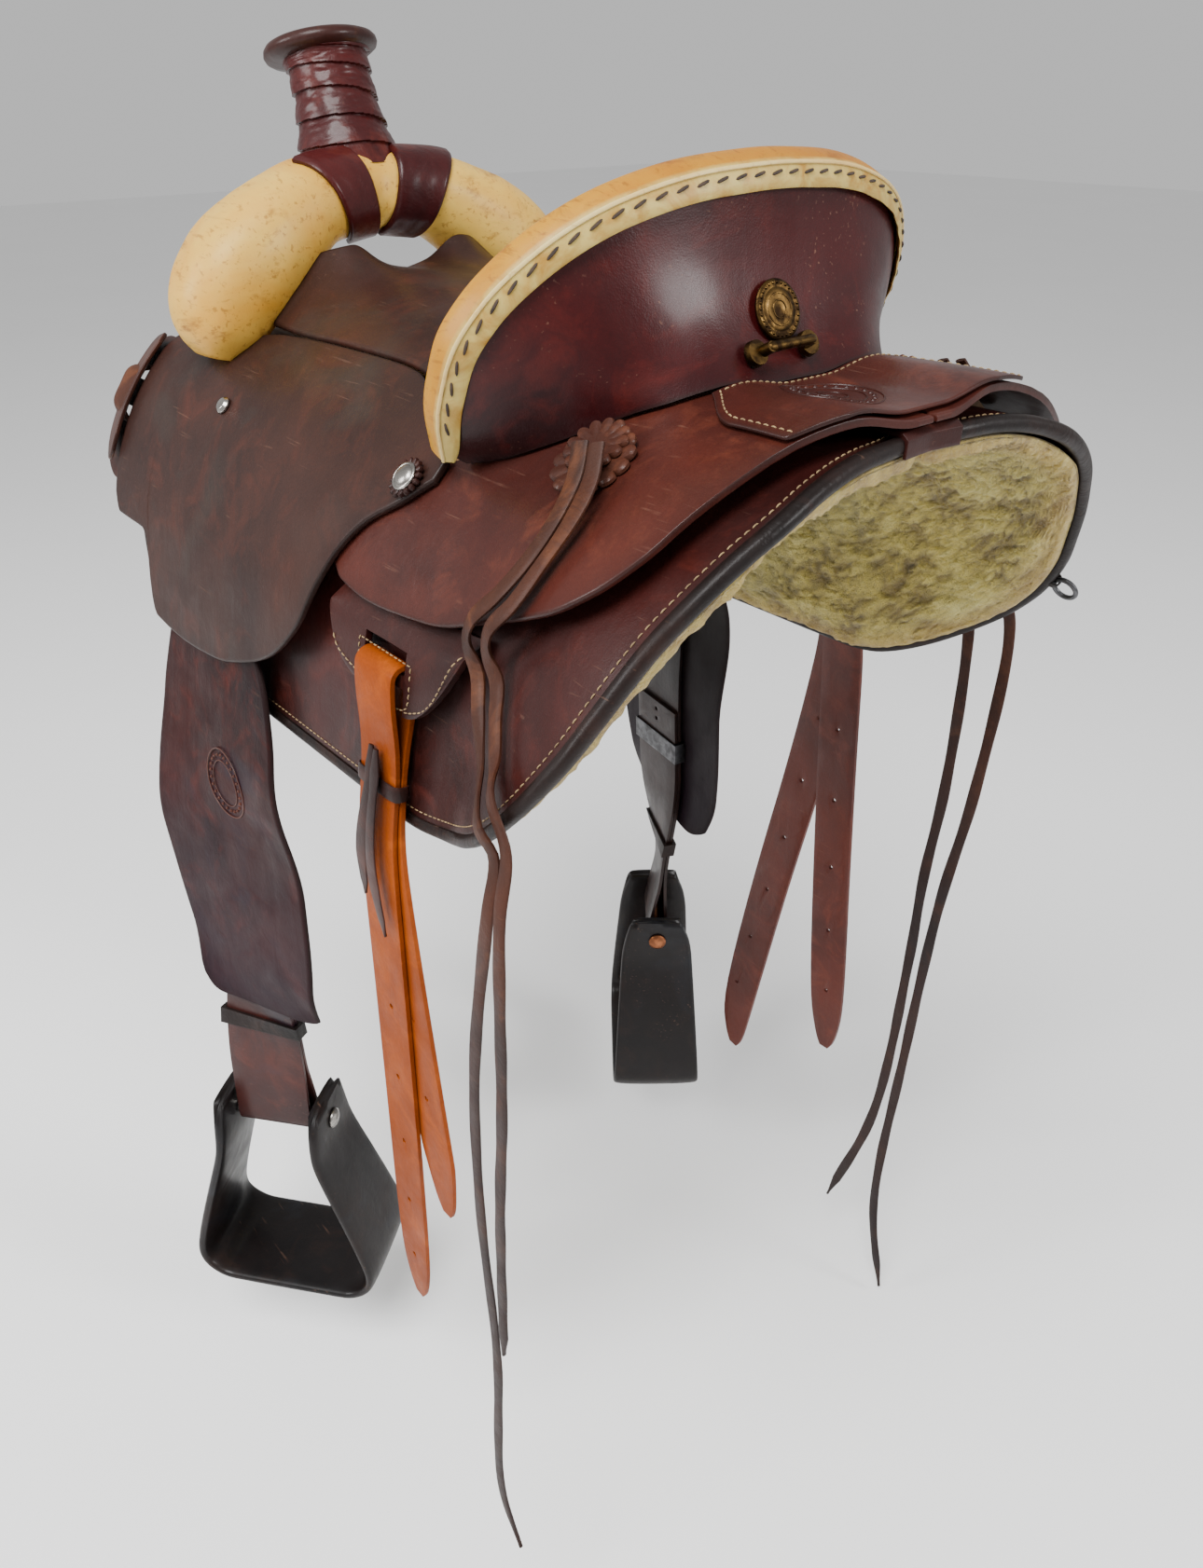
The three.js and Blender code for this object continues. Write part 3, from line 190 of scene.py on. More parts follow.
# ---- the back of the saddle as a surface: s along it from the ridge, y fore and aft, h outwards ----
def flank(s, y, h):
    s, y, h = np.broadcast_arrays(np.asarray(s, float), np.asarray(y, float), np.asarray(h, float))
    k = smooth((y - WAIST[2]) / (REAR[2] - WAIST[2]))
    a = lerp(WAIST[0], REAR[0], k)
    th = np.radians(lerp(WAIST[1], REAR[1], k))
    side, d = np.where(s < 0, -1.0, 1.0), np.abs(s)
    t = np.clip(np.minimum((d - a) / ARC_R, th), 0, None)
    run = np.maximum(d - a - ARC_R * th, 0)
    x = np.minimum(d, a) + (ARC_R + h) * np.sin(t) + run * np.cos(th)
    z = RIDGE - ARC_R + (ARC_R + h) * np.cos(t) - run * np.sin(th)
    return np.stack([side * x, y, z], -1)


def flank_normal(s, y):
    return unit(flank(s, y, 1.0) - flank(s, y, 0.0))


# ---- meshes ----
def to_row(p):
    q = np.array(p, float).reshape(-1, 3).copy()
    q[:, 2] -= DATUM
    return q * 0.001


def make(name, points, faces, body, mat, slot, nodes=(), smooth_angle=40.0):
    """A finished piece out of points in millimetres, riding on one body of the CAD model."""
    mesh = bpy.data.meshes.new(name)
    mesh.from_pydata([tuple(c) for c in to_row(points)], [], faces)
    bm = bmesh.new()
    bm.from_mesh(mesh)
    bmesh.ops.remove_doubles(bm, verts=bm.verts, dist=1e-6)
    bmesh.ops.dissolve_degenerate(bm, edges=bm.edges, dist=1e-7)
    bmesh.ops.recalc_face_normals(bm, faces=bm.faces)
    bm.to_mesh(mesh)
    bm.free()
    mesh.shade_smooth()
    if smooth_angle:
        mesh.set_sharp_from_angle(angle=math.radians(smooth_angle))
    obj = bpy.data.objects.new(name, mesh)
    bpy.context.scene.collection.objects.link(obj)
    mesh.materials.append(mat)
    if nodes:
        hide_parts(*nodes)
    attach(obj, body)
    return obj


def grid_faces(nu, nv, base=0, flip=False):
    faces = []
    for j in range(nv - 1):
        for i in range(nu - 1):
            a = base + j * nu + i
            q = (a, a + 1, a + nu + 1, a + nu)
            faces.append(q[::-1] if flip else q)
    return faces


def slab_mesh(outer, inner):
    """Closed shell between two grids of points of one size."""
    nv, nu = outer.shape[:2]
    n = nu * nv
    faces = grid_faces(nu, nv) + grid_faces(nu, nv, n, True)
    ring = list(range(nu)) + [j * nu + nu - 1 for j in range(1, nv)]
    ring += [(nv - 1) * nu + i for i in range(nu - 2, -1, -1)] + [j * nu for j in range(nv - 2, 0, -1)]
    faces += [(b, a, a + n, b + n) for a, b in zip(ring, ring[1:] + ring[:1])]
    return np.concatenate([outer.reshape(-1, 3), inner.reshape(-1, 3)]), faces


def loft_mesh(rings, closed=False):
    """Closed skin through rings of one length; the two ends are closed with one face each."""
    rings = np.array(rings, float)
    k, n = rings.shape[:2]
    faces = []
    for j in range(k if closed else k - 1):
        for i in range(n):
            a, b = j * n + i, j * n + (i + 1) % n
            c, d = ((j + 1) % k) * n + (i + 1) % n, ((j + 1) % k) * n + i
            faces.append((a, b, c, d))
    if not closed:
        faces.append(tuple(range(n))[::-1])
        faces.append(tuple((k - 1) * n + i for i in range(n)))
    return rings.reshape(-1, 3), faces


def joined(parts):
    """One mesh out of several (points, faces) parts."""
    pts, faces, base = [], [], 0
    for points, own in parts:
        pts.append(points)
        faces += [tuple(base + i for i in face) for face in own]
        base += len(points)
    return np.concatenate(pts), faces


def nearest(obj, points):
    """Index of the point nearest to each vertex, and the distance in millimetres."""
    path = to_row(points)
    tree = kdtree.KDTree(len(path))
    for i, p in enumerate(path):
        tree.insert(p, i)
    tree.balance()
    return [(i, gap * 1000) for _, i, gap in (tree.find(v.co) for v in obj.data.vertices)]


def store(obj, name, values):
    att = obj.data.attributes.new(name, "FLOAT", "POINT")
    att.data.foreach_set("value", [float(v) for v in values])


def border(grid):
    return np.concatenate([grid[0], grid[-1], grid[:, 0], grid[:, -1]])


def mark_edges(obj, outline):
    """Stores each vertex's distance from an outline, for burnished edges."""
    store(obj, "rim", [gap for _, gap in nearest(obj, outline)])


def mark_flesh(obj, outer, inner):
    """Stores 1 on the unfinished face of a hide and 0 on its grain face."""
    outer, inner = outer.reshape(-1, 3), inner.reshape(-1, 3)
    store(obj, "flesh", [i >= len(outer) for i, _ in nearest(obj, np.concatenate([outer, inner]))])


def edge_steps(width, r, n):
    """Positions 0..1 across a width, with extra rows where the edge rounds over."""
    near = np.array([0, 0.1, 0.35, 0.7, 1.0, 1.6]) * r / width
    near = near[near < 0.3]
    middle = np.linspace(near[-1], 1 - near[-1], n)[1:-1]
    return np.concatenate([near, middle, 1 - near[::-1]])


def round_over(d, r):
    """How far the top face drops at distance d from the edge."""
    k = np.clip(1 - d / r, 0, 1)
    return r * (1 - np.sqrt(1 - k * k))


def leather(name, y0, y1, low, high, h0, h1, body, mat, slot, nodes, side=1.0, nu=110, nv=34, r=1.9):
    """A layer of leather on the flank between two curves s(y), its top edge rounded over."""
    y = lerp(y0, y1, bunched(nu))
    lo, hi = low(y), high(y)
    yy, vv = np.meshgrid(y, edge_steps(float(np.median(hi - lo)), r, nv))
    s = lerp(lo, hi, vv)
    reach = np.minimum(np.minimum(vv, 1 - vv) * (hi - lo), np.minimum(yy - y0, y1 - yy))
    top = (h1(s, yy) if callable(h1) else h1) + 0 * s - round_over(reach, r)
    base = (h0(s, yy) if callable(h0) else h0) + 0 * s + 0.5 * round_over(reach, r)
    flip = np.array([side, 1, 1])
    pts, faces = slab_mesh(flank(s, yy, top) * flip, flank(s, yy, base) * flip)
    obj = make(name, pts, faces, body, mat, slot, nodes, smooth_angle=60)
    mark_edges(obj, flank(border(s), border(yy), float(np.median(top))) * flip)
    return obj


STITCH = ((-0.5, 0.25), (-0.36, 0.85), (0, 1.0), (0.36, 0.85), (0.5, 0.25))   # place along it, fatness


def stitches(name, points, normals, body, mat, slot, pitch=6.0, long=4.2, r=0.6, skew=0.0):
    """A row of separate sewn stitches along a line lying on a surface."""
    p, n = np.array(points, float), np.array(normals, float)
    run, turn, parts = run_length(p), circle(6), []
    for k in range(int(run[-1] / pitch)):
        at = (k + 0.5) * pitch
        centre = along(run, p, at)
        up = unit(along(run, n, at))
        t = unit(along(run, p, at + 1.5) - centre)
        w = unit(np.cross(up, t))
        if skew:
            t = unit(t + skew * w)
            w = unit(np.cross(up, t))
        section = turn @ np.array([w, up]) * r
        parts.append(loft_mesh([centre + t * a * long - up * r * 3.3 * a * a + section * fat
                                for a, fat in STITCH]))
    return make(name, *joined(parts), body, mat, slot)


def refine(node, body, mat, levels=2, sharp=38.0, bevel=0.5):
    """A finer copy of a CAD solid: quads again, sharp edges kept and broken, round stretches made smooth."""
    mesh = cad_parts[node].data.copy()
    obj = bpy.data.objects.new(node + "_fine", mesh)
    bpy.context.scene.collection.objects.link(obj)
    mesh.materials.clear()
    mesh.materials.append(mat)
    bm = bmesh.new()
    bm.from_mesh(mesh)
    bmesh.ops.remove_doubles(bm, verts=bm.verts, dist=2e-6)
    bmesh.ops.join_triangles(bm, faces=bm.faces, angle_face_threshold=math.radians(30),
                             angle_shape_threshold=math.radians(60))
    crease = bm.edges.layers.float.new("crease_edge")
    for e in bm.edges:
        if len(e.link_faces) == 2 and e.calc_face_angle(0) > math.radians(sharp):
            e[crease] = 1.0
    bm.to_mesh(mesh)
    bm.free()
    if levels:
        sub = obj.modifiers.new("round", "SUBSURF")
        sub.levels = sub.render_levels = levels
    if bevel:
        bev = obj.modifiers.new("edge", "BEVEL")
        bev.width = bevel * 0.001
        bev.segments = 2
        bev.limit_method = "ANGLE"
        bev.angle_limit = math.radians(35)
    bake_modifiers(obj)
    obj.data.shade_smooth()
    obj.data.set_sharp_from_angle(angle=math.radians(40))
    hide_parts(node)
    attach(obj, body)
    return obj


def bake_modifiers(obj):
    deps = bpy.context.evaluated_depsgraph_get()
    mesh = bpy.data.meshes.new_from_object(obj.evaluated_get(deps))
    obj.modifiers.clear()
    obj.data = mesh


def tube(rail, normals, half_wide, half_thick, power=2.6, n=16):
    """Rings of a rounded flat section along a rail; the half width may change along it."""
    rail, turn = np.array(rail, float), circle(n)
    t = unit(np.gradient(rail, axis=0))
    w = unit(np.cross(normals, t))
    m = unit(np.cross(t, w))
    turn = turn * (np.sum(np.abs(turn) ** power, axis=1) ** (-1 / power))[:, None]
    wide = np.broadcast_to(half_wide, len(rail))
    return (rail[:, None] + turn[None, :, :1] * (w * wide[:, None])[:, None]
            + turn[None, :, 1:] * m[:, None] * half_thick)


# ---- materials ----
class Graph:
    """A node graph for one material, wired by short calls."""

    def __init__(self, name):
        self.mat = bpy.data.materials.new(name)
        self.mat.use_nodes = True
        self.tree = self.mat.node_tree
        self.space = self.node("ShaderNodeTexCoord", "Object", {})

    def feed(self, node, inputs):
        """Links each input that is given a socket and sets each one that is given a value."""
        for key, value in inputs.items():
            if isinstance(value, bpy.types.NodeSocket):
                self.tree.links.new(value, node.inputs[key])
            elif value is not None:
                node.inputs[key].default_value = value

    def node(self, kind, out, inputs, **settings):
        """Adds a node and returns one of its outputs."""
        n = self.tree.nodes.new(kind)
        for key, value in settings.items():
            setattr(n, key, value)
        self.feed(n, inputs)
        return n.outputs[out]

    def stretch(self, scale, turn=(0, 0, 0)):
        return self.node("ShaderNodeMapping", "Vector", {"Vector": self.space, "Scale": scale,
                                                         "Rotation": turn})

    def noise(self, scale, detail=4.0, rough=0.55, warp=0.0, vector=None):
        inputs = {"Scale": scale, "Detail": detail, "Roughness": rough, "Distortion": warp}
        return self.node("ShaderNodeTexNoise", "Fac", inputs | {"Vector": vector or self.space})

    def cells(self, scale):
        return self.node("ShaderNodeTexVoronoi", "Distance", {"Vector": self.space, "Scale": scale})

    def ramp(self, fac, *stops):
        color = self.node("ShaderNodeValToRGB", "Color", {"Fac": fac})
        e = color.node.color_ramp.elements
        while len(e) < len(stops):
            e.new(0.5)
        for element, (at, tone) in zip(e, stops):
            element.position, element.color = at, (*tone, 1)
        return color

    def level(self, fac, low, high, a=0.0, b=1.0):
        return self.node("ShaderNodeMapRange", "Result", {"Value": fac, "From Min": low, "From Max": high,
                                                          "To Min": a, "To Max": b}, clamp=True)

    def mix(self, fac, a, b):
        a, b = ((*c, 1) if isinstance(c, tuple) else c for c in (a, b))
        return self.node("ShaderNodeMix", 2, {0: fac, 6: a, 7: b}, data_type="RGBA")

    def maths(self, how, a, b):
        return self.node("ShaderNodeMath", 0, {0: a, 1: b}, operation=how)

    def attribute(self, name):
        return self.node("ShaderNodeAttribute", "Fac", {}, attribute_name=name)

    def bump(self, height, strength, distance, after=None):
        return self.node("ShaderNodeBump", "Normal", {"Height": height, "Strength": strength,
                                                      "Distance": distance, "Normal": after})

    def finish(self, color, rough, normal=None, **constants):
        inputs = {key.replace("_", " "): value for key, value in constants.items()}
        inputs |= {"Base Color": color, "Roughness": rough, "Normal": normal}
        self.feed(self.tree.nodes["Principled BSDF"], inputs)
        return self.mat


def leather_material(name, base, dark, warm, rough=0.42, coat=0.15, edge=(0.012, 0.006, 0.005),
                     edge_mm=3.0, grain=900.0, wrinkle=0.35, scratch=0.3, painted_sheen=None, rim=True, flesh=None,
                     sheen=0.15, tail=None):
    """Oiled leather: cloudy dye, pores, creases, scratches and a dark burnished edge.

    flesh colours the unfinished face, near-black on the fender as painted shade; tail is (low, high, colour):
    painted shade that darkens a hanging piece towards its lower end, in a dark bluish colour that also paints
    a sheen.
    """
    g = Graph(name)
    clouds = g.noise(7.0, 5.0, 0.6, 0.4)
    color = g.mix(g.level(clouds, 0.36, 0.64), dark, base)
    patches = g.noise(19.0, 6.0, 0.65, 1.2)
    color = g.mix(g.level(patches, 0.52, 0.74, 0.0, 0.75), color, warm)
    # Painted sheen: a second tint, laid on in cloudy patches, stands for a sheen of reflected light.
    if painted_sheen:
        sheen_patches = g.noise(11.0, 3.0, 0.5, 0.8)
        color = g.mix(g.level(sheen_patches, 0.56, 0.74, 0.0, 0.6), color, painted_sheen)
    pores = g.cells(grain)
    fine = g.noise(grain * 0.55, 3.0, 0.6)
    color = g.mix(g.level(fine, 0.35, 0.75, 0.0, 0.35), color, g.mix(0.5, color, (0, 0, 0)))
    lines = g.noise(5.0, 2.0, 0.5, 0.6, g.stretch((9, 9, 1.2), (0.5, 0.9, 0.3)))
    streak = g.noise(420.0, 2.0, 0.4, 0.3, g.stretch((1, 0.05, 1), (0.3, 0.1, 0.7)))
    where = g.level(g.noise(23.0, 3.0), 0.52, 0.62)
    marks = g.maths("MULTIPLY", g.level(streak, 0.66, 0.72), where)
    color = g.mix(g.maths("MULTIPLY", marks, scratch), color, g.mix(0.35, color, (0.32, 0.17, 0.11)))
    # Painted shade: on the fender the flesh colour is near-black, for an inner face that lies in shade.
    if flesh:
        color = g.mix(g.attribute("flesh"), color, flesh)
    # Painted shade: darker towards the lower end of a hanging piece, in a dark bluish colour that also paints
    # a sheen.
    if tail:
        z = g.node("ShaderNodeSeparateXYZ", "Z", {"Vector": g.space})
        color = g.mix(g.level(z, tail[0], tail[1], 0.75, 0.0), color, tail[2])
    if rim:
        near = g.attribute("rim")
        wobble = g.level(g.noise(140.0, 3.0), 0.0, 1.0, -1.2, 1.2)
        worn = g.maths("ADD", near, wobble)
        color = g.mix(g.level(worn, 0.2, edge_mm, 1.0, 0.0), color, edge)
        color = g.mix(g.level(worn, edge_mm, edge_mm * 5, 0.45, 0.0), color, dark)
    height = g.maths("ADD", g.maths("MULTIPLY", pores, 0.6), g.maths("MULTIPLY", fine, 0.7))
    normal = g.bump(height, 0.28, 0.0004)
    folds = g.noise(70.0, 5.0, 0.6, 1.5)
    normal = g.bump(folds, wrinkle * 0.5, 0.0016, normal)
    normal = g.bump(lines, wrinkle * 0.35, 0.004, normal)
    gloss = g.level(g.noise(24.0, 5.0, 0.6, 0.5), 0.3, 0.7, rough - 0.09, rough + 0.12)
    gloss = g.maths("ADD", gloss, g.maths("MULTIPLY", marks, 0.12))
    return g.finish(color, gloss, normal, Coat_Weight=coat, Coat_Roughness=0.22,
                    Specular_IOR_Level=sheen)


def rawhide_material(name, pale, amber, brown, stain=0.6, flange=None):
    """Stretched rawhide: translucent cream, amber mottling and fine brown streaks."""
    g = Graph(name)
    color = g.mix(g.level(g.noise(9.0, 5.0, 0.6, 0.6), 0.38, 0.68), pale, amber)
    fibre = g.noise(34.0, 6.0, 0.7, 0.5, g.stretch((1.0, 0.35, 2.2), (0.6, 0.2, 0.5)))
    spots = g.noise(13.0, 4.0, 0.6, 0.8)
    streaks = g.maths("MULTIPLY", g.level(fibre, 0.54, 0.66), g.level(spots, 0.46, 0.58))
    color = g.mix(g.maths("MULTIPLY", streaks, stain), color, brown)
    hair = g.noise(260.0, 3.0, 0.6, 0.3, g.stretch((1.0, 0.25, 1.0), (0.4, 0.5, 0.2)))
    color = g.mix(g.level(hair, 0.58, 0.68, 0.0, 0.5), color, brown)
    color = g.mix(g.level(g.attribute("rim"), 0.0, 4.0, 0.35, 0.0), color, amber)
    if flange:
        inner = g.mix(g.level(g.noise(40.0, 5.0, 0.65, 0.8), 0.42, 0.66), *flange)
        color = g.mix(g.attribute("flesh"), color, inner)
    normal = g.bump(g.noise(420.0, 4.0, 0.6), 0.22, 0.0003)
    normal = g.bump(g.noise(48.0, 5.0, 0.6, 1.0), 0.3, 0.0016, normal)
    gloss = g.level(g.noise(30.0, 4.0), 0.3, 0.7, 0.36, 0.54)
    return g.finish(color, gloss, normal, Coat_Weight=0.10, Coat_Roughness=0.3,
                    Subsurface_Weight=0.06, Subsurface_Scale=0.004, Specular_IOR_Level=0.2)


def wool_material(name):
    """Sheared fleece: olive-yellow locks with painted shade, dark in the hollows between them and pale on the
    raised locks, and brown and orange stains.
    """
    g = Graph(name)
    # Painted shade: the lock height runs a ramp from near-black in the hollows between locks to pale on the
    # raised locks.
    lock = g.attribute("lock_shade")
    color = g.ramp(lock, (0.0, (0.060, 0.034, 0.006)), (0.34, (0.27, 0.19, 0.026)),
                   (0.65, (0.64, 0.51, 0.098)), (1.0, (0.82, 0.72, 0.24)))
    dirt = g.noise(8.0, 5.0, 0.62, 1.3)
    color = g.mix(g.level(dirt, 0.56, 0.72, 0.0, 0.7), color, (0.15, 0.082, 0.016))
    pale = g.noise(5.0, 3.0, 0.5, 0.5)
    color = g.mix(g.level(pale, 0.5, 0.7, 0.0, 0.5), color, (0.58, 0.53, 0.18))
    color = g.mix(g.level(g.attribute("rim"), 2.0, 24.0, 0.55, 0.0), color, (0.60, 0.36, 0.085))
    curl = g.noise(330.0, 6.0, 0.7, 2.2)
    normal = g.bump(curl, 0.9, 0.003)
    normal = g.bump(g.noise(120.0, 4.0, 0.65, 3.0), 0.8, 0.005, normal)
    return g.finish(color, 0.95, normal, Sheen_Weight=0.5, Sheen_Roughness=0.5, Specular_IOR_Level=0.15)


def metal_material(name, base, dark, rough=0.32, tarnish=0.6):
    g = Graph(name)
    old = g.noise(90.0, 5.0, 0.65, 0.6)
    color = g.mix(g.level(old, 0.38, 0.60, 0.0, tarnish), base, dark)
    scratches = g.noise(600.0, 2.0, 0.5, 0.0, g.stretch((1, 0.1, 1), (0.2, 0.4, 0.9)))
    gloss = g.level(old, 0.35, 0.7, rough - 0.08, rough + 0.2)
    normal = g.bump(scratches, 0.15, 0.0002)
    normal = g.bump(g.noise(260.0, 4.0), 0.12, 0.0004, normal)
    return g.finish(color, gloss, normal, Metallic=1.0)


def wood_material(name, pale, dark):
    g = Graph(name)
    rings = g.noise(26.0, 5.0, 0.6, 0.8, g.stretch((1.0, 0.12, 1.0), (0, 0, 0.1)))
    color = g.mix(g.level(rings, 0.35, 0.65), pale, dark)
    pores = g.noise(300.0, 3.0, 0.6, 0.2, g.stretch((1.0, 0.06, 1.0)))
    color = g.mix(g.level(pores, 0.58, 0.7, 0.0, 0.6), color, dark)
    return g.finish(color, 0.6, g.bump(pores, 0.3, 0.0006))


def thread_material(name, pale, dark):
    g = Graph(name)
    color = g.mix(g.level(g.noise(180.0, 4.0), 0.4, 0.65), pale, dark)
    return g.finish(color, 0.8, g.bump(g.noise(1400.0, 2.0), 0.5, 0.0002))


# Seat: its greyish tint in cloudy patches is painted sheen.
SEAT = leather_material("seat_leather_dye", (0.034, 0.0125, 0.0085), (0.017, 0.0070, 0.0055),
                        (0.058, 0.0155, 0.0090), rough=0.46, coat=0.10, painted_sheen=(0.026, 0.021, 0.017))
BACK = leather_material("cantle_leather_dye", (0.044, 0.0034, 0.0036), (0.015, 0.0014, 0.0020),
                        (0.080, 0.0075, 0.0052), rough=0.40, coat=0.18, scratch=0.8, wrinkle=0.25)
JOCKEY = leather_material("jockey_leather_dye", (0.068, 0.0140, 0.0085), (0.032, 0.0070, 0.0050),
                          (0.098, 0.0230, 0.0120), rough=0.43, coat=0.16, edge_mm=3.4)
SKIRT = leather_material("skirt_leather_dye", (0.036, 0.0062, 0.0048), (0.015, 0.0035, 0.0030),
                         (0.064, 0.0110, 0.0068), rough=0.42, coat=0.16)
# Fender: the bluish tint in patches is painted sheen, the bluish darkening towards the lower end is painted
# shade with painted sheen, and the near-black inner face is painted shade.
FENDER = leather_material("fender_leather_dye", (0.034, 0.0068, 0.0056), (0.010, 0.0036, 0.0042),
                          (0.070, 0.0110, 0.0065), rough=0.46, coat=0.02, painted_sheen=(0.010, 0.0085, 0.018),
                          edge_mm=2.4, flesh=(0.010, 0.0075, 0.0070), sheen=0.07,
                          tail=(-0.58, -0.28, (0.0125, 0.0062, 0.0120)))
EDGE = leather_material("edge_leather_dye", (0.012, 0.0060, 0.0050), (0.005, 0.0035, 0.0032),
                        (0.026, 0.0110, 0.0080), rough=0.46, coat=0.06, rim=False, wrinkle=0.9)
HORN_DYE = leather_material("horn_leather_dye", (0.052, 0.0062, 0.0060), (0.018, 0.0028, 0.0034),
                            (0.095, 0.0145, 0.0090), rough=0.40, coat=0.2, rim=False, wrinkle=0.9,
                            grain=700.0)
TAN = leather_material("tan_leather_dye", (0.27, 0.050, 0.0026), (0.18, 0.032, 0.0020),
                       (0.33, 0.068, 0.0042), rough=0.46, coat=0.04, rim=False, sheen=0.06)
MAHOGANY = leather_material("mahogany_leather_dye", (0.098, 0.0165, 0.0080), (0.052, 0.0095, 0.0058),
                            (0.145, 0.0280, 0.0130), rough=0.42, coat=0.14, rim=False)
# Strings: darker and bluish towards the lower end, painted shade with painted sheen.
THONG = leather_material("latigo_leather_dye", (0.062, 0.0180, 0.0080), (0.020, 0.0075, 0.0050),
                         (0.130, 0.0420, 0.0150), rough=0.55, coat=0.03, rim=False, wrinkle=0.7,
                         tail=(-0.50, -0.05, (0.0135, 0.0095, 0.0098)))
KEEPER = leather_material("keeper_leather_dye", (0.034, 0.0095, 0.0065), (0.014, 0.0050, 0.0042),
                          (0.064, 0.0170, 0.0095), rough=0.45, coat=0.12, rim=False)
# Stirrups: their bluish tint in cloudy patches is painted sheen.
STIRRUP = leather_material("stirrup_leather_dye", (0.0095, 0.0062, 0.0058), (0.0045, 0.0036, 0.0038),
                           (0.017, 0.0085, 0.0065), rough=0.42, coat=0.14, scratch=0.4, rim=False,
                           painted_sheen=(0.014, 0.0160, 0.021))
SKIRT_PLAIN = leather_material("plate_leather_dye", (0.034, 0.0074, 0.0056), (0.014, 0.0038, 0.0034),
                               (0.058, 0.0125, 0.0080), rough=0.42, coat=0.14, rim=False)
JOCKEY_TOOLED = leather_material("tooled_leather_dye", (0.050, 0.0110, 0.0070), (0.022, 0.0052, 0.0040),
                                 (0.080, 0.0190, 0.0100), rough=0.43, coat=0.16, rim=False)
CAP = leather_material("horn_cap_leather", (0.030, 0.0090, 0.0070), (0.012, 0.0048, 0.0045),
                       (0.10, 0.0330, 0.0110), rough=0.42, coat=0.15, rim=False, wrinkle=0.5)
FENDER_STAMP = leather_material("fender_stamp_dye", (0.075, 0.0210, 0.0120), (0.034, 0.0110, 0.0080),
                                (0.10, 0.0300, 0.0150), rough=0.45, coat=0.1, rim=False)
# Near stirrup leather: its bluish tint in cloudy patches is painted sheen.
STRAP = leather_material("strap_leather_dye", (0.044, 0.0110, 0.0085), (0.016, 0.0056, 0.0058),
                         (0.075, 0.0160, 0.0095), rough=0.40, coat=0.18, rim=False,
                         painted_sheen=(0.021, 0.0185, 0.030))
# A darker copy of the strap leather for the far side: painted shade.
SHADED_FAR_STRAP = leather_material("far_strap_painted_shade", (0.018, 0.0080, 0.0065), (0.008, 0.0045, 0.0042),
                             (0.034, 0.0120, 0.0080), rough=0.42, coat=0.14, rim=False)
THONG_WIDE = leather_material("latigo_tab_dye", (0.050, 0.0145, 0.0085), (0.022, 0.0080, 0.0056),
                              (0.090, 0.0260, 0.0120), rough=0.45, coat=0.1, edge=(0.110, 0.034, 0.012),
                              edge_mm=1.6)
ROSETTE = leather_material("rosette_leather_dye", (0.085, 0.0260, 0.0140), (0.036, 0.0120, 0.0080),
                           (0.130, 0.0420, 0.0200), rough=0.46, coat=0.1, rim=False)
RAWHIDE = rawhide_material("fork_rawhide", (0.60, 0.375, 0.070), (0.52, 0.245, 0.024), (0.17, 0.050, 0.007),
                           stain=0.9)
BINDING = rawhide_material("rim_rawhide", (0.41, 0.190, 0.009), (0.31, 0.105, 0.004), (0.15, 0.044, 0.006),
                           stain=0.9, flange=((0.47, 0.35, 0.10), (0.33, 0.17, 0.024)))
FLANGE = rawhide_material("rim_rawhide_inner", (0.60, 0.52, 0.24), (0.58, 0.37, 0.12), (0.24, 0.13, 0.04),
                          stain=0.4)
WOOL = wool_material("fleece_wool")
BRASS = metal_material("old_brass", (0.115, 0.066, 0.020), (0.022, 0.012, 0.0055), 0.40, 1.0)
SILVER = metal_material("silver_plate", (0.44, 0.42, 0.39), (0.10, 0.09, 0.08), 0.24, 0.7)
STEEL = metal_material("grey_steel", (0.10, 0.10, 0.105), (0.028, 0.026, 0.026), 0.38)
COPPER = metal_material("copper_rivet", (0.34, 0.125, 0.055), (0.08, 0.032, 0.018), 0.36)
WOOD = wood_material("tree_wood", (0.36, 0.20, 0.085), (0.19, 0.095, 0.038))
THREAD = thread_material("cream_thread", (0.30, 0.205, 0.095), (0.15, 0.095, 0.045))
LACE = thread_material("dark_lace", (0.045, 0.026, 0.015), (0.018, 0.010, 0.007))


# ---- saddle strings, the free cords ----
def string_path(side, shift, over, skirt_run, drop):
    """Control points from the rosette's slots over the jockey and the skirt, then straight down."""
    pts = [flank(s, y + shift, h) for s, y, h in ((141, 248, 38), (156, 255, 30), (176, 259, 26.5))]
    pts += [flank(s, y, 24.6) for s, y in over]
    last = len(skirt_run) - 1
    for k, (s, y) in enumerate(skirt_run):
        pts.append(flank(s, y, 15 if k == 0 else 7.4 if k < last else 11.5))
    pts += [np.array(p, float) for p in drop]
    return np.array(pts) * np.array([side, 1, 1])


